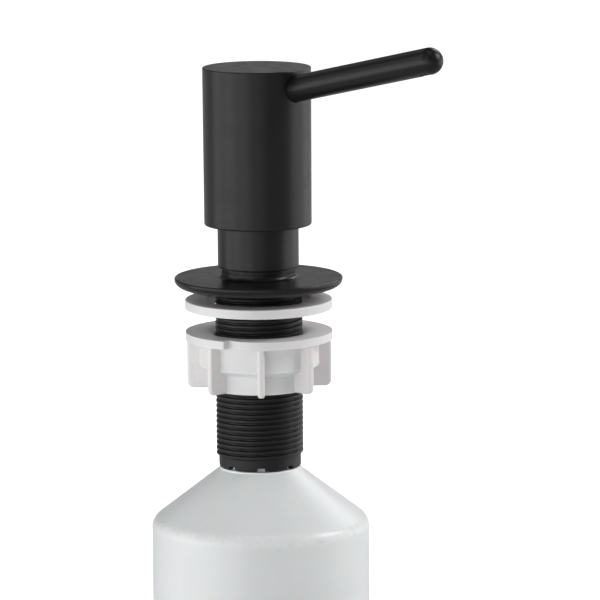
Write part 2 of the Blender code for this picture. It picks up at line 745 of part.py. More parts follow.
def make_head():
    height = HEAD_HEIGHT
    low_radius = HEAD_RADIUS - HEAD_DRAFT
    edge = HEAD_TOP_CHAMFER
    low_round = HEAD_BOTTOM_ROUND
    inner = low_radius - HEAD_WALL
    ceiling = height - HEAD_TOP_WALL
    profile = [(0.0, height), (HEAD_RADIUS - edge, height), (HEAD_RADIUS, height - edge)]
    profile += arc(low_radius - low_round, low_round, low_round, 0.0, -90.0)
    profile += [(inner, 0.0), (inner, ceiling), (0.0, ceiling)]
    shell = turned(
        "head_shell", profile, FACETS_LARGE, BLACK_COAT, HEAD_SWIVEL, HEAD_BOTTOM, closed=False
    )
    hole = SPOUT_RADIUS + SPOUT_FIT
    reach = HEAD_RADIUS / 2
    boolean(shell, spout_hole("spout_hole_shell", hole, -reach, reach), "DIFFERENCE")


def make_insert():
    outer = HEAD_RADIUS - HEAD_DRAFT - HEAD_WALL - GAP
    chamber = OUTLET_BALL_RADIUS + 2 * GAP
    chamber_low = STEM_TOP + GAP
    chamber_top = chamber_low + OUTLET_CHAMBER_HEIGHT
    passage_top = along_spout(-SPOUT_TO_AXIS).z
    profile = [
        (0.0, INSERT_TOP),
        (outer, INSERT_TOP),
        (outer, INSERT_BOTTOM),
        (INSERT_BOSS_RADIUS, INSERT_BOTTOM),
        (INSERT_BOSS_RADIUS, BOSS_BOTTOM),
        (STEM_HOLE_RADIUS, BOSS_BOTTOM),
        (STEM_HOLE_RADIUS, chamber_low),
        (chamber, chamber_low),
        (chamber, chamber_top),
        (OUTLET_PASSAGE_RADIUS, chamber_top),
        (OUTLET_PASSAGE_RADIUS, passage_top),
        (0.0, passage_top),
    ]
    insert = turned("head_insert", profile, FACETS_MEDIUM, BLACK_PLASTIC, HEAD_SWIVEL, closed=False)
    hole = SPOUT_RADIUS + SPOUT_FIT
    start = -SPOUT_SOCKET - GAP
    liner_start = -SPOUT_TO_AXIS - OUTLET_PASSAGE_RADIUS
    boolean(insert, spout_hole("spout_hole_insert", hole, start, HEAD_RADIUS), "DIFFERENCE")
    boolean(
        insert,
        spout_hole("liner_hole", LINER_RADIUS + GAP, liner_start, start / 2),
        "DIFFERENCE",
    )


def make_spout():
    """The spout, its liner and its outlet plug, each along the spout's own axis."""
    radius = SPOUT_RADIUS
    wall = SPOUT_WALL
    length = SPOUT_SOCKET + SPOUT_LENGTH
    end = length - radius
    profile = arc(0.0, end, radius, 90.0, 0.0, 6) + [(radius, 0.0), (radius - wall, 0.0)]
    profile += arc(0.0, end, radius - wall, 0.0, 90.0, 5)
    mesh = turned_mesh("spout", profile, FACETS_SMALL, closed=False)
    spout = piece("spout", mesh, BLACK_COAT, HEAD_SWIVEL, along_spout(-SPOUT_SOCKET), SPOUT_TURN)

    outlet = SPOUT_LENGTH - radius - NOZZLE_RADIUS
    outlet_point = along_spout(outlet)
    down = SPOUT_TURN + pi / 2
    hole = rod_mesh("nozzle_hole", NOZZLE_RADIUS + SPOUT_FIT, 2 * radius)
    boolean(spout, cutter("nozzle_hole", hole, outlet_point, down), "DIFFERENCE")

    plug_radius = radius - wall - SPOUT_FIT
    plug_start = outlet + NOZZLE_RADIUS + wall - NOZZLE_PLUG_LENGTH
    mesh = rod_mesh("outlet_nozzle", plug_radius, NOZZLE_PLUG_LENGTH)
    nozzle = piece(
        "outlet_nozzle", mesh, BLACK_PLASTIC, HEAD_SWIVEL, along_spout(plug_start), SPOUT_TURN
    )
    stub = rod_mesh("nozzle_stub", NOZZLE_RADIUS, radius + NOZZLE_PROUD)
    boolean(nozzle, cutter("nozzle_stub", stub, outlet_point, down), "UNION")
    bore = rod_mesh("nozzle_bore", NOZZLE_BORE_RADIUS, 2 * radius)
    boolean(nozzle, cutter("nozzle_bore", bore, outlet_point, down), "DIFFERENCE")
    feed = spout_hole("nozzle_feed", NOZZLE_BORE_RADIUS, plug_start - radius, outlet)
    boolean(nozzle, feed, "DIFFERENCE")
    socket = LINER_RADIUS + SPOUT_FIT
    socket_end = plug_start + NOZZLE_SOCKET
    boolean(
        nozzle, spout_hole("nozzle_socket", socket, plug_start - radius, socket_end), "DIFFERENCE"
    )

    liner_start = -SPOUT_TO_AXIS + OUTLET_PASSAGE_RADIUS + GAP
    liner_end = socket_end - GAP
    profile = annulus(LINER_RADIUS - LINER_WALL, LINER_RADIUS, 0.0, liner_end - liner_start)
    mesh = turned_mesh("spout_liner", profile, FACETS_SMALL)
    piece(
        "spout_liner", mesh, TUBE_PLASTIC, HEAD_SWIVEL, along_spout(liner_start), SPOUT_TURN
    )


make_bottle()
make_bottle_seal()
make_shank()
make_flange()
make_washer()
make_nut()
make_sleeve()
make_housing()
make_bush()
make_stem()
make_piston()
make_spring()
make_inlet_valve()
make_outlet_ball()
make_head()
make_insert()
make_spout()
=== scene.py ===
# %% [markdown]
# # A deck-mounted soap dispenser
#
# The object is a pump head on a threaded shank, with the washer and wing nut that clamp it to a
# sink deck and the bottle that hangs below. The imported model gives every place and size, and this
# file makes the surfaces: turned metal, moulded plastic, real helical threads and soft light.

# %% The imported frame
import json
from collections import namedtuple
from math import atan2, cos, hypot, pi, radians, sin, tan

import bmesh
import bpy
from mathutils import Matrix, Vector

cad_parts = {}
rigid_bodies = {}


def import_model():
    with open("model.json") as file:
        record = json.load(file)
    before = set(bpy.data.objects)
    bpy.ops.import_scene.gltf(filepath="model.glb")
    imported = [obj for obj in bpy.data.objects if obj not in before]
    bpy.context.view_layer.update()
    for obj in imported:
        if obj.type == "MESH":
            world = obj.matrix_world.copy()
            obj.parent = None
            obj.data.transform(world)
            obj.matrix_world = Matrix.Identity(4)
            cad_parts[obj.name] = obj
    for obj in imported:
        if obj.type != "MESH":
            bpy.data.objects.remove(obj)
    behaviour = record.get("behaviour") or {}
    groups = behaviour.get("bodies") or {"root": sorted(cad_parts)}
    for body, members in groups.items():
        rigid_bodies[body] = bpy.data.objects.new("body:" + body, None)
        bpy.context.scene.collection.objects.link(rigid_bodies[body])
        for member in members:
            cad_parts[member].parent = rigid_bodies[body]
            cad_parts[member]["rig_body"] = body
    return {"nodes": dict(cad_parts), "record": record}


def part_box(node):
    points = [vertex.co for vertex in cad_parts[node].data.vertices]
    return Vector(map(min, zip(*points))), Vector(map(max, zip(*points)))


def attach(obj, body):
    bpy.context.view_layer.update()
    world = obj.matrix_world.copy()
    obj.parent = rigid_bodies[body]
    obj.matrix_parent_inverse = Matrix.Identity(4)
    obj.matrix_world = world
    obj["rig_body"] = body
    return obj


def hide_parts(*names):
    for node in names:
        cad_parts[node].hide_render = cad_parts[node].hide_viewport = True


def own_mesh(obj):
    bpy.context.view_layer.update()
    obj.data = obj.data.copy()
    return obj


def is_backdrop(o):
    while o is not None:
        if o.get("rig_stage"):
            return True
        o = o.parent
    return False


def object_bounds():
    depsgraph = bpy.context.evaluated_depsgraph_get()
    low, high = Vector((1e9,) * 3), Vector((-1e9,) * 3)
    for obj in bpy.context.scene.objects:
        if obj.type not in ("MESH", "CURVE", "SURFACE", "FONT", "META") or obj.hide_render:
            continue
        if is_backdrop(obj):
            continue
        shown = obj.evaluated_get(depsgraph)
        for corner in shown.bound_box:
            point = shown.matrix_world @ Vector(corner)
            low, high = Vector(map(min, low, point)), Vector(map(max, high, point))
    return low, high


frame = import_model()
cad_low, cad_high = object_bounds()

MM = 0.001
print("CAD box, mm:", [round(v / MM, 1) for v in (*cad_low, *cad_high)])

# %% [markdown]
# ## Sizes read from the frame
#
# Almost every piece is round about the pump's axis, so its outline is a list of radii and
# heights. Those come from the boxes of the CAD nodes: a box's highest x is a round piece's
# radius, and its lowest and highest z are where the piece starts and ends. Sizes that a box
# can't give, such as a bore, a step or the radius on an edge, are written beside their piece.

# %% Radii and heights
def span(node):
    """(radius, lowest height, highest height) of a turned CAD node."""
    low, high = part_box(node)
    return high.x, low.z, high.z


HEAD_R, HEAD_LOW, HEAD_TOP = span("head_shell")
SLEEVE_R, SLEEVE_LOW, SLEEVE_TOP = span("sleeve")
FLANGE_R, FLANGE_LOW, FLANGE_NECK_TOP = span("flange")
SHANK_R, SHANK_LOW, SPIGOT_TOP = span("threaded_shank")
WASHER_R, WASHER_LOW, WASHER_TOP = span("clamp_washer")
NUT_R, NUT_LOW, NUT_TOP = span("wing_nut")
BOTTLE_R, BOTTLE_LOW, FINISH_TOP = span("bottle")
HOUSING_RIM_R, HOUSING_LOW, HOUSING_TOP = span("pump_housing")
GAP = 0.3 * MM
THREAD_PITCH = 1.7 * MM
THREAD_DEPTH = 0.6 * MM
for title, radius in (("head", HEAD_R), ("flange", FLANGE_R), ("shank", SHANK_R)):
    print("%s radius %.2f mm" % (title, radius / MM))

# %% [markdown]
# ## Outlines with rounded corners
#
# No moulded or turned edge is perfectly sharp: a small round catches the light as a thin line,
# and it is what makes a plain cylinder look like a made thing. Each outline is therefore a short
# list of corners with a radius for each. A helper turns a corner into an arc and remembers
# whether the corner stands out, because paint and plastic rub off there first. That memory is
# stored on the mesh as the attribute edge_wear, which the materials read later.

# %% Corner rounding
Corner = namedtuple("Corner", "r z round threaded", defaults=(0.0, 0.0))
Point = namedtuple("Point", "r z wear threaded", defaults=(0.0, 0.0))


def arc_points(before, here, after, size, steps):
    """The points of a round of that radius at a corner, cut short where a side is short."""
    to_before, to_after = before - here, after - here
    half = to_before.angle(to_after) / 2
    tangent = min(size / tan(half), 0.48 * to_before.length, 0.48 * to_after.length)
    radius = tangent * tan(half)
    start = here + to_before.normalized() * tangent
    halfway = (to_before.normalized() + to_after.normalized()).normalized()
    centre = here + halfway * radius / sin(half)
    outward = start - centre
    turn = pi - 2 * half
    if (here - before).cross(after - here) < 0:
        turn = -turn
    made = []
    for i in range(steps + 1):
        a = turn * i / steps
        x = outward.x * cos(a) - outward.y * sin(a)
        y = outward.x * sin(a) + outward.y * cos(a)
        made.append(centre + Vector((x, y)))
    return made, turn < 0


def outline(corners, closed=True, steps=5, guard=0.45 * MM):
    """Points along an outline that runs down the outer side and back up the inner side."""
    made = []
    count = len(corners)
    for i, corner in enumerate(corners):
        here = Vector((corner.r, corner.z))
        if corner.round == 0 or (not closed and i in (0, count - 1)):
            made.append(Point(corner.r, corner.z, 0.0, corner.threaded))
            continue
        before = Vector(corners[i - 1][:2])
        after = Vector(corners[(i + 1) % count][:2])
        points, stands_out = arc_points(before, here, after, corner.round, steps)
        wear = 1.0 if stands_out else 0.0
        lead = (before - points[0]).normalized() * guard
        trail = (after - points[-1]).normalized() * guard
        if (before - points[0]).length > 3 * guard:
            made.append(Point(*(points[0] + lead)))
        made += [Point(p.x, p.y, wear) for p in points]
        if (after - points[-1]).length > 3 * guard:
            made.append(Point(*(points[-1] + trail)))
    return made


def threaded_side(radius, start, end, rows_per_turn, pitch):
    """Closely spaced points along a wall that a thread will be raised on."""
    count = max(2, round(abs(end - start) / pitch * rows_per_turn))
    return [Point(radius, start + (end - start) * i / count, 0.0, 1.0) for i in range(count + 1)]


sample = outline([Corner(1, 1, 0.2), Corner(1, 0, 0.2), Corner(0.5, 0, 0.2), Corner(0.5, 1, 0.2)])
print("a ring's four rounded corners make", len(sample), "points")

# %% [markdown]
# ## Turning an outline into a mesh
#
# Blender's Screw modifier would do this, but a thread or a parting line needs columns at chosen
# angles and values stored at each point, so the rings are built directly. An outline that starts
# and ends on the axis is closed with a single point there, so no pole is left open.

# %% Turned meshes
def even_angles(count, extra=()):
    """Evenly spaced angles, with extra ones added where a detail needs them."""
    made = [2 * pi * i / count for i in range(count)]
    spare = [a % (2 * pi) for a in extra]
    made = [a for a in made if all(abs(a - b) > 0.004 for b in spare)]
    return sorted(made + spare)


def turned_mesh(name, points, angles, closed=True):
    mesh = bpy.data.meshes.new(name)
    verts, faces, owner = [], [], []
    rings = []
    for index, point in enumerate(points):
        if point.r < 1e-7:
            rings.append([len(verts)] * len(angles))
            verts.append((0.0, 0.0, point.z))
            owner.append(index)
            continue
        rings.append(list(range(len(verts), len(verts) + len(angles))))
        verts += [(point.r * cos(a), point.r * sin(a), point.z) for a in angles]
        owner += [index] * len(angles)
    pairs = list(zip(rings, rings[1:]))
    if closed:
        pairs.append((rings[-1], rings[0]))
    for upper, lower in pairs:
        for i in range(len(angles)):
            j = (i + 1) % len(angles)
            loop = (lower[i], lower[j], upper[j], upper[i])
            faces.append(tuple(dict.fromkeys(loop)))
    mesh.from_pydata(verts, [], faces)
    for title, field in (("edge_wear", "wear"), ("threaded", "threaded")):
        layer = mesh.attributes.new(title, "FLOAT", "POINT")
        layer.data.foreach_set("value", [getattr(points[i], field) for i in owner])
    finish_mesh(mesh)
    return mesh


def finish_mesh(mesh, sharp=34.0):
    mesh.validate()
    mesh.shade_smooth()
    mesh.set_sharp_from_angle(angle=radians(sharp))


def new_object(name, mesh):
    made = bpy.data.objects.new(name, mesh)
    bpy.context.scene.collection.objects.link(made)
    return made


def baked(thing):
    """The object with its modifiers applied, as a plain mesh under the same name."""
    graph = bpy.context.evaluated_depsgraph_get()
    mesh = bpy.data.meshes.new_from_object(thing.evaluated_get(graph))
    thing.modifiers.clear()
    thing.data = mesh
    finish_mesh(mesh)
    return thing


def combine(thing, other, operation):
    """Joins or cuts one object with another, and removes the other."""
    step = thing.modifiers.new(operation.lower(), "BOOLEAN")
    step.operation = operation
    step.solver = "EXACT"
    step.object = other
    baked(thing)
    bpy.data.objects.remove(other)
    return thing


FINE = even_angles(160)
MEDIUM = even_angles(96)
SMALL = even_angles(64)
print("a fine ring has", len(FINE), "columns")

# %% [markdown]
# ## Finishes
#
# Each finish starts from the Principled shader. A fine noise in the Bump node gives the grain of
# the coat or the mould, a broad noise shifts colour and roughness a little so that no face is
# dead flat, and the edge_wear attribute lightens and polishes the edges that stand out. All of it
# reads Object coordinates, which stay put on a piece however it moves.

# %% A finish in nodes
def mixed(tree, blend, factor, first, second):
    node = tree.nodes.new("ShaderNodeMix")
    node.data_type = "RGBA"
    node.blend_type = blend
    for socket, value in ((0, factor), (6, first), (7, second)):
        if isinstance(value, bpy.types.NodeSocket):
            tree.links.new(value, node.inputs[socket])
        else:
            node.inputs[socket].default_value = value
    return node.outputs[2]


def noise(tree, coordinates, scale, detail=3.0, roughness=0.5):
    node = tree.nodes.new("ShaderNodeTexNoise")
    node.inputs["Scale"].default_value = scale
    node.inputs["Detail"].default_value = detail
    node.inputs["Roughness"].default_value = roughness
    tree.links.new(coordinates, node.inputs["Vector"])
    return node.outputs["Fac"]


def ranged(tree, value, low, high, to_low, to_high):
    node = tree.nodes.new("ShaderNodeMapRange")
    tree.links.new(value, node.inputs["Value"])
    for title, number in (
        ("From Min", low), ("From Max", high), ("To Min", to_low), ("To Max", to_high)
    ):
        node.inputs[title].default_value = number
    return node.outputs["Result"]


def worked(tree, operation, first, second):
    node = tree.nodes.new("ShaderNodeMath")
    node.operation = operation
    for socket, value in enumerate((first, second)):
        if isinstance(value, bpy.types.NodeSocket):
            tree.links.new(value, node.inputs[socket])
        else:
            node.inputs[socket].default_value = value
    return node.outputs[0]


def finish_material(name, colour, shade, rough, rough_shift, grain, grain_depth, worn, wear_rough,
                    patch=60.0, **sockets):
    """A moulded or coated surface. grain is in repeats per metre, grain_depth in metres."""
    made = bpy.data.materials.new(name)
    made.use_nodes = True
    tree = made.node_tree
    shader = tree.nodes["Principled BSDF"]
    place = tree.nodes.new("ShaderNodeTexCoord").outputs["Object"]
    broad = noise(tree, place, patch, 4.0, 0.55)
    base = mixed(
        tree, "MIX", ranged(tree, broad, 0.3, 0.7, 0.0, 1.0), (*colour, 1.0), (*shade, 1.0)
    )
    wear = tree.nodes.new("ShaderNodeAttribute")
    wear.attribute_name = "edge_wear"
    broken = ranged(tree, noise(tree, place, patch * 14, 3.0), 0.38, 0.62, 0.25, 1.0)
    edge = worked(tree, "MULTIPLY", wear.outputs["Fac"], broken)
    tree.links.new(mixed(tree, "MIX", edge, base, (*worn, 1.0)), shader.inputs["Base Color"])
    streak = noise(tree, place, patch * 3.3, 3.0)
    rough_value = ranged(tree, streak, 0.3, 0.7, rough - rough_shift, rough + rough_shift)
    polish = worked(tree, "MULTIPLY", edge, wear_rough - rough)
    tree.links.new(worked(tree, "ADD", rough_value, polish), shader.inputs["Roughness"])
    bump = tree.nodes.new("ShaderNodeBump")
    bump.inputs["Strength"].default_value = 1.0
    bump.inputs["Distance"].default_value = grain_depth
    tree.links.new(noise(tree, place, grain, 2.0), bump.inputs["Height"])
    tree.links.new(bump.outputs["Normal"], shader.inputs["Normal"])
    for title, value in sockets.items():
        shader.inputs[title.replace("_", " ")].default_value = value
    return made


# %% The dispenser's finishes
black_coat = finish_material(
    "satin_black_coat", (0.0074, 0.0074, 0.0079), (0.0092, 0.0092, 0.0097), 0.32, 0.03,
    3600.0, 0.000004, (0.013, 0.013, 0.0135), 0.29, Specular_IOR_Level=0.26,
)
shank_plastic = finish_material(
    "black_moulded_plastic", (0.0082, 0.0082, 0.0085), (0.0104, 0.0104, 0.0107), 0.42, 0.05,
    2200.0, 0.000008, (0.013, 0.013, 0.0135), 0.36, Specular_IOR_Level=0.28,
)
white_plastic = finish_material(
    "white_moulded_plastic", (0.82, 0.82, 0.82), (0.79, 0.79, 0.795), 0.42, 0.05,
    1500.0, 0.000008, (0.89, 0.89, 0.89), 0.36,
    Subsurface_Weight=0.25, Subsurface_Scale=0.003,
)
bottle_plastic = finish_material(
    "bottle_plastic", (0.84, 0.845, 0.85), (0.81, 0.815, 0.825), 0.33, 0.04,
    700.0, 0.000010, (0.88, 0.88, 0.885), 0.28,
    Subsurface_Weight=0.25, Subsurface_Scale=0.003,
)
valve_plastic = finish_material(
    "natural_valve_plastic", (0.72, 0.74, 0.75), (0.66, 0.68, 0.70), 0.36, 0.05,
    1800.0, 0.000006, (0.80, 0.81, 0.82), 0.30,
    Subsurface_Weight=0.2, Subsurface_Scale=0.001,
)
tube_plastic = finish_material(
    "extruded_tube_plastic", (0.80, 0.82, 0.83), (0.74, 0.76, 0.78), 0.30, 0.05,
    1200.0, 0.000006, (0.86, 0.87, 0.88), 0.26,
    Subsurface_Weight=0.2, Subsurface_Scale=0.001,
)
seal_rubber = finish_material(
    "seal_rubber", (0.020, 0.020, 0.020), (0.030, 0.030, 0.030), 0.78, 0.06,
    1500.0, 0.000020, (0.045, 0.045, 0.045), 0.70,
)
spring_steel = finish_material(
    "spring_steel", (0.56, 0.56, 0.58), (0.48, 0.48, 0.50), 0.26, 0.06,
    4000.0, 0.000006, (0.70, 0.70, 0.72), 0.20, Metallic=1.0,
)
FINISHES = {
    "black_coat": black_coat,
    "black_plastic": shank_plastic,
    "white_plastic": white_plastic,
    "bottle_plastic": bottle_plastic,
    "valve_plastic": valve_plastic,
    "tube_plastic": tube_plastic,
    "seal_rubber": seal_rubber,
    "steel": spring_steel,
}
SLOT_OF = {row["node"]: row["material_slot"] for row in frame["record"]["subparts"]}
print(len(FINISHES), "finishes made")

# %% [markdown]
# ## Handing a piece to its body
#
# Each finished piece takes the finish of the record's material slot, stands in for the CAD node
# of the same work and rides on the body that carries it when a joint moves.

# %% Riding
def body_of(node):
    return frame["nodes"][node]["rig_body"]


def hand_over(thing, node):
    """The piece takes the finish and the body of a CAD node, and is shown in its place."""
    thing.data.materials.clear()
    thing.data.materials.append(FINISHES[SLOT_OF[node]])
    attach(thing, body_of(node))
    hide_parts(node)
    print("%-22s %7d faces, rides on %s" % (thing.name, len(thing.data.polygons), body_of(node)))
    return thing


# %% [markdown]
# ## A thread that is a real helix
#
# A thread follows a rule: its height above the wall depends only on the angle round the axis and
# the distance along it. Geometry Nodes apply such a rule to a whole mesh at once, so one tree
# raises the thread on the shank, inside the wing nut and on the bottle's neck. The tree reads the
# threaded attribute, so only the wall that was given close rows is moved. A right-hand thread
# rises as the angle grows: the phase is height over pitch, less the share of a turn.

# %% The thread tree
def thread_tree():
    tree = bpy.data.node_groups.new("helical_thread", "GeometryNodeTree")
    made = tree.interface
    made.new_socket("Geometry", in_out="INPUT", socket_type="NodeSocketGeometry")
    for title in (
        "Pitch", "Depth", "Lower end", "Upper end", "Run out", "Phase", "Flank foot", "Flank top"
    ):
        made.new_socket(title, in_out="INPUT", socket_type="NodeSocketFloat")
    made.new_socket("Finish", in_out="INPUT", socket_type="NodeSocketMaterial")
    made.new_socket("Geometry", in_out="OUTPUT", socket_type="NodeSocketGeometry")
    given = tree.nodes.new("NodeGroupInput").outputs
    position = tree.nodes.new("GeometryNodeInputPosition").outputs[0]
    parts = tree.nodes.new("ShaderNodeSeparateXYZ")
    tree.links.new(position, parts.inputs[0])
    x, y, z = parts.outputs
    turn = worked(tree, "DIVIDE", worked(tree, "ARCTAN2", y, x), 2 * pi)
    along = worked(tree, "DIVIDE", z, given["Pitch"])
    phase = worked(tree, "ADD", worked(tree, "SUBTRACT", along, turn), given["Phase"])
    share = worked(tree, "FLOORED_MODULO", phase, 1.0)
    doubled = worked(tree, "SUBTRACT", worked(tree, "MULTIPLY", share, 2.0), 1.0)
    nearness = worked(tree, "SUBTRACT", 1.0, worked(tree, "ABSOLUTE", doubled, 0.0))
    flank = smooth_step(tree, nearness, given["Flank foot"], given["Flank top"])
    above = worked(tree, "SUBTRACT", z, given["Lower end"])
    starts = smooth_step(tree, above, 0.0, given["Run out"])
    below = worked(tree, "SUBTRACT", given["Upper end"], z)
    stops = smooth_step(tree, below, 0.0, given["Run out"])
    mask = tree.nodes.new("GeometryNodeInputNamedAttribute")
    mask.data_type = "FLOAT"
    mask.inputs["Name"].default_value = "threaded"
    raised = worked(tree, "MULTIPLY", flank, given["Depth"])
    raised = worked(tree, "MULTIPLY", raised, worked(tree, "MULTIPLY", starts, stops))
    raised = worked(tree, "MULTIPLY", raised, mask.outputs["Attribute"])
    squares = [worked(tree, "MULTIPLY", side, side) for side in (x, y)]
    length = worked(tree, "SQRT", worked(tree, "ADD", *squares), 0.0)
    push = worked(tree, "DIVIDE", raised, worked(tree, "MAXIMUM", length, 1e-6))
    offset = tree.nodes.new("ShaderNodeCombineXYZ")
    tree.links.new(worked(tree, "MULTIPLY", x, push), offset.inputs[0])
    tree.links.new(worked(tree, "MULTIPLY", y, push), offset.inputs[1])
    moved = tree.nodes.new("GeometryNodeSetPosition")
    tree.links.new(given["Geometry"], moved.inputs["Geometry"])
    tree.links.new(offset.outputs[0], moved.inputs["Offset"])
    coat_and_return(tree, moved.outputs[0], given["Finish"])
    return tree


def coat_and_return(tree, shape, finish):
    """A tree's last steps: instances become mesh, take their finish and leave the tree."""
    real = tree.nodes.new("GeometryNodeRealizeInstances")
    tree.links.new(shape, real.inputs[0])
    coated = tree.nodes.new("GeometryNodeSetMaterial")
    tree.links.new(real.outputs[0], coated.inputs["Geometry"])
    tree.links.new(finish, coated.inputs["Material"])
    result = tree.nodes.new("NodeGroupOutput")
    tree.links.new(coated.outputs[0], result.inputs[0])


def smooth_step(tree, value, low, high):
    node = tree.nodes.new("ShaderNodeMapRange")
    node.interpolation_type = "SMOOTHSTEP"
    tree.links.new(value, node.inputs["Value"])
    for title, number in (("From Min", low), ("From Max", high)):
        if isinstance(number, bpy.types.NodeSocket):
            tree.links.new(number, node.inputs[title])
        else:
            node.inputs[title].default_value = number
    return node.outputs["Result"]


THREAD = thread_tree()


def run_tree(thing, tree, **inputs):
    """Puts a Geometry Nodes tree on an object, sets its inputs by identifier and bakes it."""
    step = thing.modifiers.new(tree.name, "NODES")
    step.node_group = tree
    named = {item.name: item.identifier for item in tree.interface.items_tree
             if item.in_out == "INPUT"}
    for title, value in inputs.items():
        step[named[title.replace("_", " ")]] = value
    return baked(thing)


print("the thread tree has", len(THREAD.nodes), "nodes")

# %% [markdown]
# ## The threaded shank
#
# One black moulding: a spigot that passes up through the flange, a long thread for the nut, and a
# plain collar with eight small notches in its lower edge, which a key can grip. The outline gets
# thirteen rows of points in each turn where the thread goes, and the tree lifts them.

# %% The shank
COLLAR_R = 13.2 * MM
COLLAR_H = 3.7 * MM
SHANK_TOP = FLANGE_LOW - GAP
SHANK_ROOT = SHANK_R - THREAD_DEPTH
SPIGOT_R = 10.2 * MM
SHANK_BORE = 8.8 * MM
SOCKET_R = 11.4 * MM
SOCKET_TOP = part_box("bottle_seal")[1].z + GAP
NOTCHES = 8
NOTCH_W = 2.5 * MM
NOTCH_H = 1.1 * MM
THREAD_LOW = SHANK_LOW + COLLAR_H
THREAD_HIGH = SHANK_TOP - 0.9 * MM


def shank():
    points = outline([
        Corner(SPIGOT_R, SPIGOT_TOP, 0.3 * MM),
        Corner(SPIGOT_R, SHANK_TOP, 0.2 * MM),
        Corner(SHANK_ROOT, SHANK_TOP, 0.2 * MM),
        Corner(SHANK_ROOT, THREAD_HIGH),
    ], closed=False, steps=3)
    points += threaded_side(SHANK_ROOT, THREAD_HIGH, THREAD_LOW, 13, THREAD_PITCH)
    points += outline([
        Corner(SHANK_ROOT, THREAD_LOW),
        Corner(COLLAR_R, THREAD_LOW - 0.2 * MM, 0.12 * MM),
        Corner(COLLAR_R, SHANK_LOW, 0.25 * MM),
        Corner(SOCKET_R, SHANK_LOW, 0.2 * MM),
        Corner(SOCKET_R, SOCKET_TOP),
        Corner(SHANK_BORE, SOCKET_TOP),
        Corner(SHANK_BORE, SPIGOT_TOP),
    ], closed=False, steps=3)[1:]
    thing = new_object("shank", turned_mesh("shank", points, even_angles(112)))
    run_tree(
        thing, THREAD, Pitch=THREAD_PITCH, Depth=THREAD_DEPTH, Lower_end=THREAD_LOW,
        Upper_end=THREAD_HIGH, Run_out=0.3 * MM, Phase=0.0, Flank_foot=0.12, Flank_top=0.62,
        Finish=shank_plastic,
    )
    return thing


threaded_shank = shank()
print("thread turns:", round((THREAD_HIGH - THREAD_LOW) / THREAD_PITCH, 1))

# %% [markdown]
# ## Copies round the axis
#
# The nut's fins and the collar's notches are one shape repeated round a circle. A second tree
# takes that one shape, makes an instance of it at each of an even set of angles, and turns the
# instances into real mesh, ready to be joined to the body or cut out of it.

# %% The ring-of-copies tree
def ring_tree():
    tree = bpy.data.node_groups.new("ring_of_copies", "GeometryNodeTree")
    made = tree.interface
    made.new_socket("Geometry", in_out="INPUT", socket_type="NodeSocketGeometry")
    made.new_socket("Copies", in_out="INPUT", socket_type="NodeSocketInt")
    made.new_socket("Finish", in_out="INPUT", socket_type="NodeSocketMaterial")
    made.new_socket("Geometry", in_out="OUTPUT", socket_type="NodeSocketGeometry")
    given = tree.nodes.new("NodeGroupInput").outputs
    points = tree.nodes.new("GeometryNodePoints")
    tree.links.new(given["Copies"], points.inputs["Count"])
    index = tree.nodes.new("GeometryNodeInputIndex").outputs[0]
    share = worked(tree, "DIVIDE", index, given["Copies"])
    angle = worked(tree, "MULTIPLY", share, 2 * pi)
    turn = tree.nodes.new("ShaderNodeCombineXYZ")
    tree.links.new(angle, turn.inputs[2])
    spread = tree.nodes.new("GeometryNodeInstanceOnPoints")
    tree.links.new(points.outputs[0], spread.inputs["Points"])
    tree.links.new(given["Geometry"], spread.inputs["Instance"])
    tree.links.new(turn.outputs[0], spread.inputs["Rotation"])
    coat_and_return(tree, spread.outputs[0], given["Finish"])
    return tree


RING = ring_tree()


def block(name, low, high, rounding, segments=3):
    """A box between two corners with rounded edges."""
    shape = bmesh.new()
    size = [b - a for a, b in zip(low, high)]
    middle = [(a + b) / 2 for a, b in zip(low, high)]
    bmesh.ops.create_cube(
        shape, size=1.0, matrix=Matrix.Translation(middle) @ Matrix.Diagonal((*size, 1.0))
    )
    bmesh.ops.bevel(
        shape, geom=shape.edges[:], offset=rounding, segments=segments, profile=0.5,
        affect="EDGES",
    )
    mesh = bpy.data.meshes.new(name)
    shape.to_mesh(mesh)
    shape.free()
    return new_object(name, mesh)


notch = block(
    "notch",
    (SOCKET_R - 2 * MM, -NOTCH_W / 2, SHANK_LOW - NOTCH_H),
    (COLLAR_R + 2 * MM, NOTCH_W / 2, SHANK_LOW + NOTCH_H),
    0.3 * MM,
)
run_tree(notch, RING, Copies=NOTCHES, Finish=shank_plastic)
combine(threaded_shank, notch, "DIFFERENCE")
hand_over(threaded_shank, "threaded_shank")

# %% [markdown]
# ## The wing nut
#
# A white moulding that hands can turn under a sink: a wide thrust rim, a body in two diameters
# with a sloping step, and eight straight fins. The rim has one shallow pocket where the plastic
# entered the mould: a step that fades out round the rim. The bore carries the same thread as the
# shank, half a pitch out of phase so that its ridges lie in the shank's grooves.

# %% The nut's body
RIM_T = 2.7 * MM
UPPER_R = 19.3 * MM
UPPER_H = 10.8 * MM
LOWER_R = 16.5 * MM
STEP_H = 1.6 * MM
LEAD_IN = 1.1 * MM
LEAD_IN_WIDTH = 2.2 * MM
NUT_BORE = SHANK_R + GAP
POCKET_START = radians(-75.0)
POCKET_SPAN = radians(45.0)
POCKET_DEPTH = 2.8 * MM
POCKET_FADE = 2.2


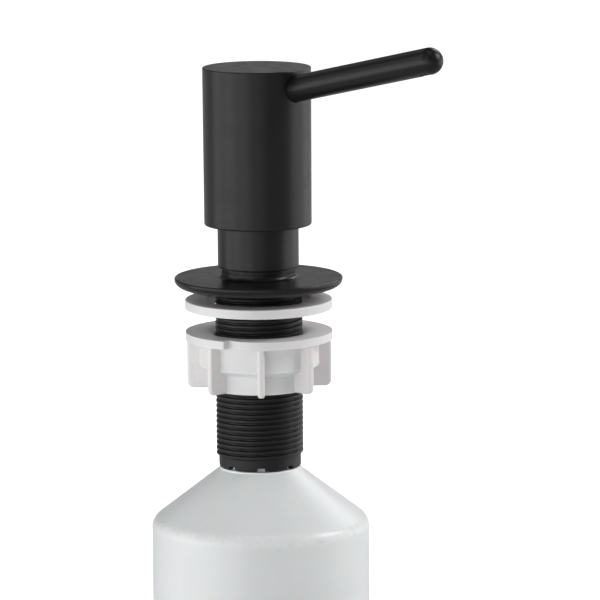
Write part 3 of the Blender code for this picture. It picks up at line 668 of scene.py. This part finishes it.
def nut_body():
    step = NUT_TOP - UPPER_H
    points = outline([
        Corner(NUT_R, NUT_TOP, 0.35 * MM),
        Corner(NUT_R, NUT_TOP - RIM_T, 0.30 * MM),
        Corner(UPPER_R, NUT_TOP - RIM_T, 0.5 * MM),
        Corner(UPPER_R, step, 0.35 * MM),
        Corner(LOWER_R, step - STEP_H, 0.5 * MM),
        Corner(LOWER_R, NUT_LOW, 0.35 * MM),
        Corner(NUT_BORE, NUT_LOW),
    ], closed=False, steps=4)
    points += threaded_side(NUT_BORE, NUT_LOW, NUT_TOP - LEAD_IN, 10, THREAD_PITCH)[1:]
    points += [Point(NUT_BORE + LEAD_IN_WIDTH, NUT_TOP)]
    angles = even_angles(128, (POCKET_START, POCKET_START + radians(0.7)))
    return new_object("nut", turned_mesh("nut", points, angles))


def press_pocket(mesh):
    """Moves the rim's side inwards behind the pocket's step, less and less round the rim."""
    for vertex in mesh.vertices:
        radius = hypot(vertex.co.x, vertex.co.y)
        if radius < NUT_R - 1.2 * MM or vertex.co.z < NUT_TOP - RIM_T - 0.1 * MM:
            continue
        past = (atan2(vertex.co.y, vertex.co.x) - POCKET_START - radians(0.5)) % (2 * pi)
        if past > POCKET_SPAN:
            continue
        depth = POCKET_DEPTH * (1 - past / POCKET_SPAN) ** POCKET_FADE
        vertex.co.xy *= (radius - depth) / radius


wing_nut = nut_body()
press_pocket(wing_nut.data)
run_tree(
    wing_nut, THREAD, Pitch=THREAD_PITCH, Depth=-THREAD_DEPTH, Lower_end=NUT_LOW,
    Upper_end=NUT_TOP - LEAD_IN, Run_out=1.2 * MM, Phase=0.5, Flank_foot=0.45, Flank_top=0.85,
    Finish=white_plastic,
)
print("nut body:", len(wing_nut.data.polygons), "faces")

# %% The nut's fins
FIN_R = 23.2 * MM
FIN_T = 2.1 * MM
FIN_ROOT_T = 2.5 * MM
FIN_CORNER = 1.2 * MM
FIN_ROUND = 0.8 * MM
FINS = 8


def fin():
    """One fin along +X: it thickens a little towards the body, and every free edge is round."""
    inner = LOWER_R - 1.2 * MM
    top = NUT_TOP - RIM_T / 2
    side = [
        (inner, NUT_LOW),
        (FIN_R - FIN_CORNER, NUT_LOW),
        (FIN_R, NUT_LOW + FIN_CORNER),
        (FIN_R, top),
        (inner, top),
    ]
    shape = bmesh.new()
    walls = []
    for sign in (-1, 1):
        wall = []
        for x, z in side:
            share = (x - inner) / (FIN_R - inner)
            half = (FIN_ROOT_T + (FIN_T - FIN_ROOT_T) * share) / 2
            wall.append(shape.verts.new((x, sign * half, z)))
        walls.append(wall)
    shape.faces.new(walls[0])
    shape.faces.new(walls[1][::-1])
    for i in range(len(side)):
        j = (i + 1) % len(side)
        shape.faces.new((walls[0][j], walls[0][i], walls[1][i], walls[1][j]))
    free = [
        edge for edge in shape.edges
        if all(v.co.x > inner + 1e-6 or v.co.z < NUT_LOW + 1e-6 for v in edge.verts)
        and not all(v.co.z > top - 1e-6 for v in edge.verts)
        and edge.calc_length() > 1e-6
    ]
    bmesh.ops.bevel(shape, geom=free, offset=FIN_ROUND, segments=5, profile=0.5, affect="EDGES")
    bmesh.ops.recalc_face_normals(shape, faces=shape.faces)
    mesh = bpy.data.meshes.new("fin")
    shape.to_mesh(mesh)
    shape.free()
    return new_object("fin", mesh)


fins = fin()
run_tree(fins, RING, Copies=FINS, Finish=white_plastic)
combine(wing_nut, fins, "UNION")
hand_over(wing_nut, "wing_nut")

# %% [markdown]
# ## The clamp washer
#
# A plain moulded ring, loose on the shank between the flange and the nut. Its edges are only
# just broken, so they show as thin lines.

# %% The washer
WASHER_HOLE = 16.5 * MM
washer_points = outline([
    Corner(WASHER_R, WASHER_TOP, 0.35 * MM),
    Corner(WASHER_R, WASHER_LOW, 0.35 * MM),
    Corner(WASHER_HOLE, WASHER_LOW, 0.3 * MM),
    Corner(WASHER_HOLE, WASHER_TOP, 0.3 * MM),
], steps=4)
washer = new_object("washer", turned_mesh("washer", washer_points, FINE))
hand_over(washer, "clamp_washer")

# %% [markdown]
# ## The flange, sleeve and head
#
# Three turned metal pieces under one satin black coat. The flange is thin with a rolled rim, and
# its short neck meets the disc in a small hollow round. The sleeve hides the pump's rim, and the
# head slides down over it. The head is a deep cup, closed by its flat top.

# %% The flange and its seal
FLANGE_T = 3.4 * MM
FLANGE_EDGE = 0.7 * MM
FLANGE_FOOT = 23.0 * MM
NECK_R = 11.75 * MM
NECK_HOLLOW = 1.8 * MM
SEAL_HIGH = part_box("deck_seal")[1]
SEAL_INNER = 16.2 * MM
FLANGE_TOP = FLANGE_LOW + FLANGE_T
FLANGE_SIDE = FLANGE_TOP - FLANGE_EDGE


def rolled_rim(steps=14):
    """The rim below its upper edge: a quarter of an ellipse that curves in to the foot."""
    made = []
    for i in range(1, steps):
        a = pi / 2 * i / steps
        r = FLANGE_FOOT + (FLANGE_R - FLANGE_FOOT) * cos(a)
        made.append(Corner(r, FLANGE_SIDE - (FLANGE_SIDE - FLANGE_LOW) * sin(a)))
    return made


flange_points = outline([
    Corner(NECK_R, FLANGE_NECK_TOP, 0.12 * MM),
    Corner(NECK_R, FLANGE_TOP, NECK_HOLLOW),
    Corner(FLANGE_R, FLANGE_TOP, FLANGE_EDGE),
    *rolled_rim(),
    Corner(FLANGE_FOOT, FLANGE_LOW),
    Corner(SEAL_HIGH.x + GAP, FLANGE_LOW, 0.15 * MM),
    Corner(SEAL_HIGH.x + GAP, SEAL_HIGH.z + GAP),
    Corner(SEAL_INNER - GAP, SEAL_HIGH.z + GAP),
    Corner(SEAL_INNER - GAP, FLANGE_LOW, 0.15 * MM),
    Corner(SPIGOT_R + GAP, FLANGE_LOW, 0.15 * MM),
    Corner(SPIGOT_R + GAP, FLANGE_NECK_TOP, 0.15 * MM),
], steps=7)
flange = new_object("flange_ring", turned_mesh("flange_ring", flange_points, FINE))
hand_over(flange, "flange")

# %% The sleeve
SLEEVE_BORE = 11.0 * MM
WEB_LOW = HOUSING_TOP + GAP
WEB_T = 2.0 * MM
WEB_HIGH = WEB_LOW + WEB_T
WEB_HOLE = 7.1 * MM
sleeve_points = outline([
    Corner(SLEEVE_R, SLEEVE_TOP, 0.3 * MM),
    Corner(SLEEVE_R, SLEEVE_LOW, 0.15 * MM),
    Corner(SLEEVE_BORE, SLEEVE_LOW, 0.2 * MM),
    Corner(SLEEVE_BORE, WEB_LOW),
    Corner(WEB_HOLE, WEB_LOW),
    Corner(WEB_HOLE, WEB_HIGH),
    Corner(SLEEVE_BORE, WEB_HIGH),
    Corner(SLEEVE_BORE, SLEEVE_TOP, 0.2 * MM),
], steps=4)
sleeve = new_object("sleeve_collar", turned_mesh("sleeve_collar", sleeve_points, FINE))
hand_over(sleeve, "sleeve")

# %% [markdown]
# ## The head and its spout
#
# The spout is a straight tube with a domed end. It is turned about its own axis like everything
# else and then laid along a line that leaves the head's side and rises outwards. Its place is
# moved into the mesh, so the object itself stays at the origin. The head gets a true hole for it.

# %% The spout's line
SPOUT_R = 4.25 * MM
SPOUT_RISE = radians(12.8)
SPOUT_FIT = 0.12 * MM
SPOUT_BELOW_TOP = 5.65 * MM
SPOUT_ENTRY = Vector((HEAD_R, 0.0, HEAD_TOP - SPOUT_BELOW_TOP))
SPOUT_DIRECTION = Vector((cos(SPOUT_RISE), 0.0, sin(SPOUT_RISE)))
SPOUT_TIP_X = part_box("spout")[1].x
SPOUT_OUT = (SPOUT_TIP_X - SPOUT_R - HEAD_R) / cos(SPOUT_RISE)
SPOUT_IN = 8.0 * MM


def laid_along_spout(mesh, distance):
    """Moves a mesh turned about Z so that its Z axis is the spout's, from a point along it."""
    turn = Matrix.Rotation(pi / 2 - SPOUT_RISE, 4, "Y")
    mesh.transform(Matrix.Translation(SPOUT_ENTRY + SPOUT_DIRECTION * distance) @ turn)
    return mesh


def domed(radius, length, steps):
    """The outer side of a round bar with a half-sphere on its end, from the tip down."""
    made = []
    for i in range(steps + 1):
        a = pi / 2 * (1 - i / steps)
        made.append(Point(radius * cos(a) if i else 0.0, length + radius * sin(a)))
    return made


SPOUT_WALL = 0.8 * MM
spout_length = SPOUT_IN + SPOUT_OUT
bore_r = SPOUT_R - SPOUT_WALL
spout_points = domed(SPOUT_R, spout_length, 16)
spout_points += [Point(SPOUT_R, spout_length * (1 - i / 12)) for i in range(1, 13)]
spout_points += [Point(bore_r, 0.0)] + domed(bore_r, spout_length, 8)[::-1]
spout_mesh = turned_mesh("spout_tube", spout_points, MEDIUM, closed=False)
spout_tube = new_object("spout_tube", laid_along_spout(spout_mesh, -SPOUT_IN))
print("spout reaches", round(SPOUT_TIP_X / MM, 1), "mm from the pump's axis")

# %% The spout's outlet
OUTLET_R = 2.1 * MM
OUTLET_BORE = 1.3 * MM
BUSH_END = SPOUT_R - 0.15 * MM
BUSH_START = 1.2 * MM
OUTLET_AT = SPOUT_OUT - OUTLET_R
OUTLET_POINT = SPOUT_ENTRY + SPOUT_DIRECTION * OUTLET_AT
DOWN_TURN = pi - SPOUT_RISE


def facing_down(mesh, point=OUTLET_POINT):
    """Moves a mesh turned about Z so that its Z axis points down, square to the spout."""
    mesh.transform(Matrix.Translation(point) @ Matrix.Rotation(DOWN_TURN, 4, "Y"))
    return mesh


drill_points = outline(
    [Corner(0, 2 * SPOUT_R), Corner(OUTLET_R + SPOUT_FIT, 2 * SPOUT_R),
     Corner(OUTLET_R + SPOUT_FIT, 0), Corner(0, 0)], closed=False,
)
drill = new_object("drill", facing_down(turned_mesh("drill", drill_points, SMALL, closed=False)))
combine(spout_tube, drill, "DIFFERENCE")
hand_over(spout_tube, "spout")

bush_points = outline([
    Corner(OUTLET_R, BUSH_END, 0.25 * MM),
    Corner(OUTLET_R, BUSH_START),
    Corner(OUTLET_BORE, BUSH_START),
    Corner(OUTLET_BORE, BUSH_END, 0.25 * MM),
], steps=4)
bush_mesh = facing_down(turned_mesh("outlet_bush", bush_points, SMALL))
outlet_bush = new_object("outlet_bush", bush_mesh)
hand_over(outlet_bush, "outlet_nozzle")

# %% The head
HEAD_DRAFT = 0.15 * MM
HEAD_WALL = 2.6 * MM
HEAD_LID = 2.0 * MM
HEAD_BORE = HEAD_R - HEAD_DRAFT - HEAD_WALL
head_points = outline([
    Corner(0.0, HEAD_TOP),
    Corner(HEAD_R, HEAD_TOP, 0.3 * MM),
    Corner(HEAD_R - HEAD_DRAFT, HEAD_LOW, 0.5 * MM),
    Corner(HEAD_BORE, HEAD_LOW, 0.4 * MM),
    Corner(HEAD_BORE, HEAD_TOP - HEAD_LID),
    Corner(0.0, HEAD_TOP - HEAD_LID),
], closed=False, steps=6)
head_mesh = turned_mesh("head_cup", head_points, even_angles(192), closed=False)
head = new_object("head_cup", head_mesh)
hole_points = outline([
    Corner(0.0, HEAD_R), Corner(SPOUT_R + SPOUT_FIT, HEAD_R),
    Corner(SPOUT_R + SPOUT_FIT, -HEAD_R / 2), Corner(0.0, -HEAD_R / 2),
], closed=False)
hole_mesh = laid_along_spout(turned_mesh("spout_hole", hole_points, MEDIUM, closed=False), 0.0)
combine(head, new_object("spout_hole", hole_mesh), "DIFFERENCE")
hand_over(head, "head_shell")

# %% [markdown]
# ## The bottle
#
# Blow-moulded plastic: a straight body, a conical shoulder rounded into it, and a threaded neck
# that screws up into the shank. The two halves of the mould leave a fine parting line on each
# side, and the base is pushed up inside a ring so that the bottle stands steady.

# %% The bottle's wall
WALL = 1.4 * MM
SHOULDER_RISE = radians(37.7)
SHOULDER_TOP = SHANK_LOW - GAP
SHOULDER_R = 13.1 * MM
CONE_STEP = 0.6 * MM
CONE_TOP = SHOULDER_TOP - CONE_STEP
SHOULDER_CORNER = CONE_TOP - (BOTTLE_R - SHOULDER_R) * tan(SHOULDER_RISE)
BEAD_R = 11.2 * MM
BEAD_TOP = SHOULDER_TOP + 1.5 * MM
FINISH_THREAD_LOW = BEAD_TOP + 0.8 * MM
FINISH_THREAD_HIGH = FINISH_TOP - 1.5 * MM
FINISH_R = 10.3 * MM
FINISH_BORE = 8.7 * MM
FINISH_PITCH = 3.0 * MM
FINISH_DEPTH = 0.8 * MM
PARTING = (radians(43.0), radians(223.0))
PARTING_HEIGHT = 0.10 * MM
PARTING_HALF = 0.009         # radians from the ridge to its foot
FINISH_LEAD = 0.3 * MM
RING_R = 28.0 * MM           # the ring it stands on, and the hollow inside that ring
HOLLOW_R = 25.0 * MM
INNER_CORNER = SHOULDER_CORNER - WALL / cos(SHOULDER_RISE) + WALL * tan(SHOULDER_RISE)
INNER_TOP = INNER_CORNER + (BOTTLE_R - WALL - FINISH_BORE) * tan(SHOULDER_RISE)


def bottle_points():
    points = [
        Point(FINISH_R - FINISH_LEAD, FINISH_TOP, 1.0),
        Point(FINISH_R, FINISH_TOP - FINISH_LEAD, 1.0),
        Point(FINISH_R, FINISH_THREAD_HIGH),
    ]
    points += threaded_side(FINISH_R, FINISH_THREAD_HIGH, FINISH_THREAD_LOW, 14, FINISH_PITCH)
    points += outline([
        Corner(FINISH_R, FINISH_THREAD_LOW),
        Corner(FINISH_R, BEAD_TOP, 0.3 * MM),
        Corner(BEAD_R, BEAD_TOP, 0.3 * MM),
        Corner(BEAD_R, SHOULDER_TOP, 0.2 * MM),
        Corner(SHOULDER_R, SHOULDER_TOP, 0.15 * MM),
        Corner(SHOULDER_R, CONE_TOP, 0.1 * MM),
        Corner(BOTTLE_R, SHOULDER_CORNER, 4.4 * MM),
        Corner(BOTTLE_R, BOTTLE_LOW, 4.0 * MM),
        Corner(RING_R, BOTTLE_LOW, 1.2 * MM),
        Corner(HOLLOW_R, BOTTLE_LOW + 1.6 * MM, 2.0 * MM),
        Corner(0.0, BOTTLE_LOW + 2.6 * MM),
        Corner(0.0, BOTTLE_LOW + 4.0 * MM),
        Corner(HOLLOW_R, BOTTLE_LOW + 3.0 * MM, 2.0 * MM),
        Corner(RING_R, BOTTLE_LOW + WALL, 1.2 * MM),
        Corner(BOTTLE_R - WALL, BOTTLE_LOW + WALL, 2.6 * MM),
        Corner(BOTTLE_R - WALL, INNER_CORNER, 3.0 * MM),
        Corner(FINISH_BORE, INNER_TOP),
        Corner(FINISH_BORE, FINISH_TOP),
    ], closed=False, steps=9)[1:]
    return points


def raise_parting_lines(mesh):
    """A fine ridge up the outside of the body and shoulder where the mould's halves met."""
    for vertex in mesh.vertices:
        radius = hypot(vertex.co.x, vertex.co.y)
        if radius < SHOULDER_R or vertex.co.z < BOTTLE_LOW + 2 * MM:
            continue
        bearing = atan2(vertex.co.y, vertex.co.x)
        near = min(abs((bearing - a + pi) % (2 * pi) - pi) for a in PARTING)
        inside = radius < BOTTLE_R - 0.5 * WALL and vertex.co.z < SHOULDER_CORNER - 2 * MM
        if near < 0.001 and not inside:
            vertex.co.xy *= (radius + PARTING_HEIGHT) / radius


extra = [a + s for a in PARTING for s in (-PARTING_HALF, 0.0, PARTING_HALF)]
bottle_mesh = turned_mesh("bottle_body", bottle_points(), even_angles(160, extra))
bottle = new_object("bottle_body", bottle_mesh)
raise_parting_lines(bottle.data)
run_tree(
    bottle, THREAD, Pitch=FINISH_PITCH, Depth=FINISH_DEPTH, Lower_end=FINISH_THREAD_LOW,
    Upper_end=FINISH_THREAD_HIGH, Run_out=1.5 * MM, Phase=0.0, Flank_foot=0.35,
    Flank_top=0.80, Finish=bottle_plastic,
)
hand_over(bottle, "bottle")

# %% [markdown]
# ## What shows when the pump is lifted out
#
# The head, sleeve, pump cylinder and dip tube come out of the shank together for refilling, so
# the cylinder and the tube are made as carefully as the outside. The cylinder has a rim at its
# top and a socket for the tube, whose lower end is cut slanting so that it can't seal against
# the bottle's base.

# %% The pump's cylinder and dip tube
HOUSING_R = 7.4 * MM
HOUSING_BORE = 6.3 * MM
TUBE_R, TUBE_LOW, TUBE_TOP = span("dip_tube")
TUBE_BORE = TUBE_R - 1.0 * MM
SOCKET_OUTER = TUBE_R + 1.6 * MM
SOCKET_END = HOUSING_LOW + 6.5 * MM
CHAMBER_FLOOR = SOCKET_END + 3.0 * MM
INLET_R = 1.8 * MM
TUBE_SLANT = 0.5
RIM_LOW = HOUSING_TOP - 2.0 * MM
housing_points = outline([
    Corner(HOUSING_RIM_R, HOUSING_TOP, 0.25 * MM),
    Corner(HOUSING_RIM_R, RIM_LOW, 0.25 * MM),
    Corner(HOUSING_R, RIM_LOW, 0.4 * MM),
    Corner(HOUSING_R, SOCKET_END + HOUSING_R - SOCKET_OUTER, 0.8 * MM),
    Corner(SOCKET_OUTER, SOCKET_END, 0.8 * MM),
    Corner(SOCKET_OUTER, HOUSING_LOW, 0.3 * MM),
    Corner(TUBE_R + GAP, HOUSING_LOW, 0.2 * MM),
    Corner(TUBE_R + GAP, SOCKET_END),
    Corner(INLET_R, SOCKET_END),
    Corner(INLET_R, CHAMBER_FLOOR),
    Corner(HOUSING_BORE, CHAMBER_FLOOR),
    Corner(HOUSING_BORE, HOUSING_TOP, 0.2 * MM),
], steps=4)
cylinder = new_object("pump_cylinder", turned_mesh("pump_cylinder", housing_points, MEDIUM))
hand_over(cylinder, "pump_housing")

tube_points = outline([
    Corner(TUBE_R, TUBE_TOP, 0.15 * MM),
    Corner(TUBE_R, TUBE_LOW),
    Corner(TUBE_BORE, TUBE_LOW),
    Corner(TUBE_BORE, TUBE_TOP, 0.15 * MM),
], steps=3)
tube = new_object("suction_tube", turned_mesh("suction_tube", tube_points, SMALL))
for vertex in tube.data.vertices:
    if vertex.co.z < TUBE_LOW + 0.1 * MM:
        vertex.co.z += TUBE_SLANT * (vertex.co.x + TUBE_R)
hand_over(tube, "dip_tube")

# %% The two seals
for node, title, inner in (
    ("deck_seal", "deck_ring", SEAL_INNER), ("bottle_seal", "neck_ring", FINISH_BORE + GAP)
):
    low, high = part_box(node)
    ring_points = outline([
        Corner(high.x, high.z, 0.25 * MM),
        Corner(high.x, low.z, 0.25 * MM),
        Corner(inner, low.z, 0.25 * MM),
        Corner(inner, high.z, 0.25 * MM),
    ], steps=4)
    hand_over(new_object(title, turned_mesh(title, ring_points, MEDIUM)), node)

# %% [markdown]
# ## The return spring
#
# A coil of steel wire lifts the head after each stroke. A spiral curve swept by a small circle is
# exactly that, so a third tree makes it from its turns, radius, height and wire. A rigid coil
# would be run through by the piston as the head goes down.

# %% The coil tree
def coil_tree():
    tree = bpy.data.node_groups.new("wire_coil", "GeometryNodeTree")
    made = tree.interface
    made.new_socket("Geometry", in_out="INPUT", socket_type="NodeSocketGeometry")
    for title in ("Turns", "Radius", "Height", "Wire radius", "Lower end"):
        made.new_socket(title, in_out="INPUT", socket_type="NodeSocketFloat")
    made.new_socket("Finish", in_out="INPUT", socket_type="NodeSocketMaterial")
    made.new_socket("Geometry", in_out="OUTPUT", socket_type="NodeSocketGeometry")
    given = tree.nodes.new("NodeGroupInput").outputs
    spiral = tree.nodes.new("GeometryNodeCurveSpiral")
    spiral.inputs["Resolution"].default_value = 40
    for socket, title in (("Rotations", "Turns"), ("Start Radius", "Radius"),
                          ("End Radius", "Radius"), ("Height", "Height")):
        tree.links.new(given[title], spiral.inputs[socket])
    wire = tree.nodes.new("GeometryNodeCurvePrimitiveCircle")
    wire.inputs["Resolution"].default_value = 14
    tree.links.new(given["Wire radius"], wire.inputs["Radius"])
    swept = tree.nodes.new("GeometryNodeCurveToMesh")
    tree.links.new(spiral.outputs[0], swept.inputs["Curve"])
    tree.links.new(wire.outputs[0], swept.inputs["Profile Curve"])
    swept.inputs["Fill Caps"].default_value = True
    lift = tree.nodes.new("ShaderNodeCombineXYZ")
    tree.links.new(given["Lower end"], lift.inputs[2])
    placed = tree.nodes.new("GeometryNodeTransform")
    tree.links.new(swept.outputs[0], placed.inputs["Geometry"])
    tree.links.new(lift.outputs[0], placed.inputs["Translation"])
    coat_and_return(tree, placed.outputs[0], given["Finish"])
    return tree


# %% The spring
SPRING_OUTER, SPRING_LOW, SPRING_HIGH = span("return_spring")
SPRING_WIRE = 0.4 * MM
SPRING_TURNS = 6.5
spring = new_object("wire_spring", bpy.data.meshes.new("wire_spring"))
run_tree(
    spring, coil_tree(), Turns=SPRING_TURNS, Radius=SPRING_OUTER - SPRING_WIRE,
    Height=SPRING_HIGH - SPRING_LOW - 2 * SPRING_WIRE, Wire_radius=SPRING_WIRE,
    Lower_end=SPRING_LOW + SPRING_WIRE, Finish=spring_steel,
)
hand_over(spring, "return_spring")
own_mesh(spring)

# %% [markdown]
# ## The pieces that stay as they are
#
# The stem, piston, balls, cage, bush, insert and liner work inside the pump and the head. Their
# CAD shapes are already right, so they only take their finishes.

# %% Finishes for the inner pieces
for node, thing in frame["nodes"].items():
    if not thing.hide_render:
        thing.data.materials.clear()
        thing.data.materials.append(FINISHES[SLOT_OF[node]])
        print("%-16s keeps its shape, in %s" % (node, FINISHES[SLOT_OF[node]].name))

# %% [markdown]
# ## Floor, light and camera
#
# The floor is a wide pale sheet that the dispenser stands on. It glows, so it stays clean white
# behind the piece, and the light that a white floor would throw up comes from the lower half of
# the world instead. Round the dispenser stand soft panels in two rings. The strong ones are to
# the left of the camera and high on the right, and the gap between them is what draws the soft
# dark band down the black head. Each panel's power is in watts, by its bearing from the camera.

# %% The floor
FLOOR_REACH = 14.0
FLOOR_GAP = 0.05 * MM
stage_mesh = bpy.data.meshes.new("floor")
stage_mesh.from_pydata(
    [(x * FLOOR_REACH, y * FLOOR_REACH, 0) for x, y in ((-1, -1), (1, -1), (1, 1), (-1, 1))],
    [], [(0, 1, 2, 3)],
)
floor = new_object("floor", stage_mesh)
floor.location.z = cad_low.z - FLOOR_GAP
pale = bpy.data.materials.new("pale_floor")
pale.use_nodes = True
pale_shader = pale.node_tree.nodes["Principled BSDF"]
pale_shader.inputs["Base Color"].default_value = (0.85, 0.85, 0.85, 1.0)
pale_shader.inputs["Roughness"].default_value = 0.9
pale_shader.inputs["Specular IOR Level"].default_value = 0.0
pale_shader.inputs["Emission Color"].default_value = (1.0, 1.0, 1.0, 1.0)
pale_shader.inputs["Emission Strength"].default_value = 1.0
stage_mesh.materials.append(pale)
floor.visible_diffuse = False
floor.visible_glossy = False
floor.visible_shadow = False
floor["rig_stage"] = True

# %% The camera
CAMERA_AZIMUTH = 43.0
CAMERA_ELEVATION = 9.52
CAMERA_ROLL = radians(0.437)
CAMERA_DISTANCE = 1.4195
LENS = 265.7
AIM_HEIGHT = 204.3 * MM
AIM_SIDEWAYS = 13.23 * MM
azimuth, elevation = radians(CAMERA_AZIMUTH), radians(CAMERA_ELEVATION)
back = Vector((
    sin(azimuth) * cos(elevation), -cos(azimuth) * cos(elevation), sin(elevation)
))
to_right = Vector((cos(azimuth), sin(azimuth), 0.0))
aim = Vector((0.0, 0.0, AIM_HEIGHT)) + to_right * AIM_SIDEWAYS
camera_data = bpy.data.cameras.new("camera")
camera_data.lens = LENS
camera_data.sensor_width = 36.0
camera_data.clip_start = 0.1
camera_data.clip_end = 50.0
camera = bpy.data.objects.new("camera", camera_data)
bpy.context.scene.collection.objects.link(camera)
camera.location = aim + back * CAMERA_DISTANCE
camera.rotation_mode = "QUATERNION"
look = (-back).to_track_quat("-Z", "Y")
camera.rotation_quaternion = look @ Matrix.Rotation(-CAMERA_ROLL, 3, "Z").to_quaternion()
bpy.context.scene.camera = camera
print("camera at", [round(v, 3) for v in camera.location])

# %% The soft boxes
LIT_HEIGHT = 0.17
LOW_HEIGHT = 0.2
HIGH_HEIGHT = 1.1
PANEL_DISTANCE = 1.3
PANEL_WIDTH = 0.65
PANEL_TALL = 0.75


def soft_box(name, bearing, height, distance, width, tall, power):
    """A flat light facing the dispenser. bearing is degrees to the right of the camera."""
    target = Vector((0.0, 0.0, LIT_HEIGHT))
    angle = radians(CAMERA_AZIMUTH - 90.0 + bearing)
    place = Vector((cos(angle) * distance, sin(angle) * distance, height))
    light = bpy.data.lights.new(name, "AREA")
    light.shape = "RECTANGLE"
    light.size = width
    light.size_y = tall
    light.energy = power
    thing = bpy.data.objects.new(name, light)
    thing.location = place
    thing.rotation_mode = "QUATERNION"
    thing.rotation_quaternion = (target - place).to_track_quat("-Z", "Y")
    bpy.context.scene.collection.objects.link(thing)
    return thing


LOW_PANELS = {-90: 2.9, -60: 3.9, -30: 2.9, 0: 1.1, 90: 2.4, 120: 1.8, 150: 0.3, 180: 0.6}
HIGH_PANELS = {-150: 0.4, -90: 2.0, -30: 1.8, 30: 0.3, 90: 12.5, 150: 5.0}
for ring, height, panels in (
    ("low", LOW_HEIGHT, LOW_PANELS), ("high", HIGH_HEIGHT, HIGH_PANELS)
):
    for bearing, watts in panels.items():
        soft_box(
            f"{ring}_panel_{bearing % 360}", bearing, height, PANEL_DISTANCE,
            PANEL_WIDTH, PANEL_TALL, watts,
        )
soft_box("top_panel", 0.0, 1.6, 0.25, 0.8, 0.8, 1.5)
print(len(LOW_PANELS) + len(HIGH_PANELS) + 1, "panels round the dispenser")

# %% The room's own light
FROM_BELOW = 0.50
FROM_ABOVE = 0.09
HORIZON = 0.03
world = bpy.data.worlds.new("room")
bpy.context.scene.world = world
world.use_nodes = True
room = world.node_tree
background = room.nodes["Background"]
background.inputs["Color"].default_value = (1.0, 1.0, 1.0, 1.0)
direction = room.nodes.new("ShaderNodeSeparateXYZ")
room.links.new(room.nodes.new("ShaderNodeTexCoord").outputs["Generated"], direction.inputs[0])
glow = ranged(room, direction.outputs[2], -HORIZON, HORIZON, FROM_BELOW, FROM_ABOVE)
seen = room.nodes.new("ShaderNodeLightPath").outputs["Is Camera Ray"]
room.links.new(worked(room, "MAXIMUM", glow, seen), background.inputs["Strength"])
bpy.context.scene.view_settings.view_transform = "Standard"

# %% The visual model's size
low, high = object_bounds()
print("visual box, mm:", [round(v / MM, 1) for v in (*low, *high)])
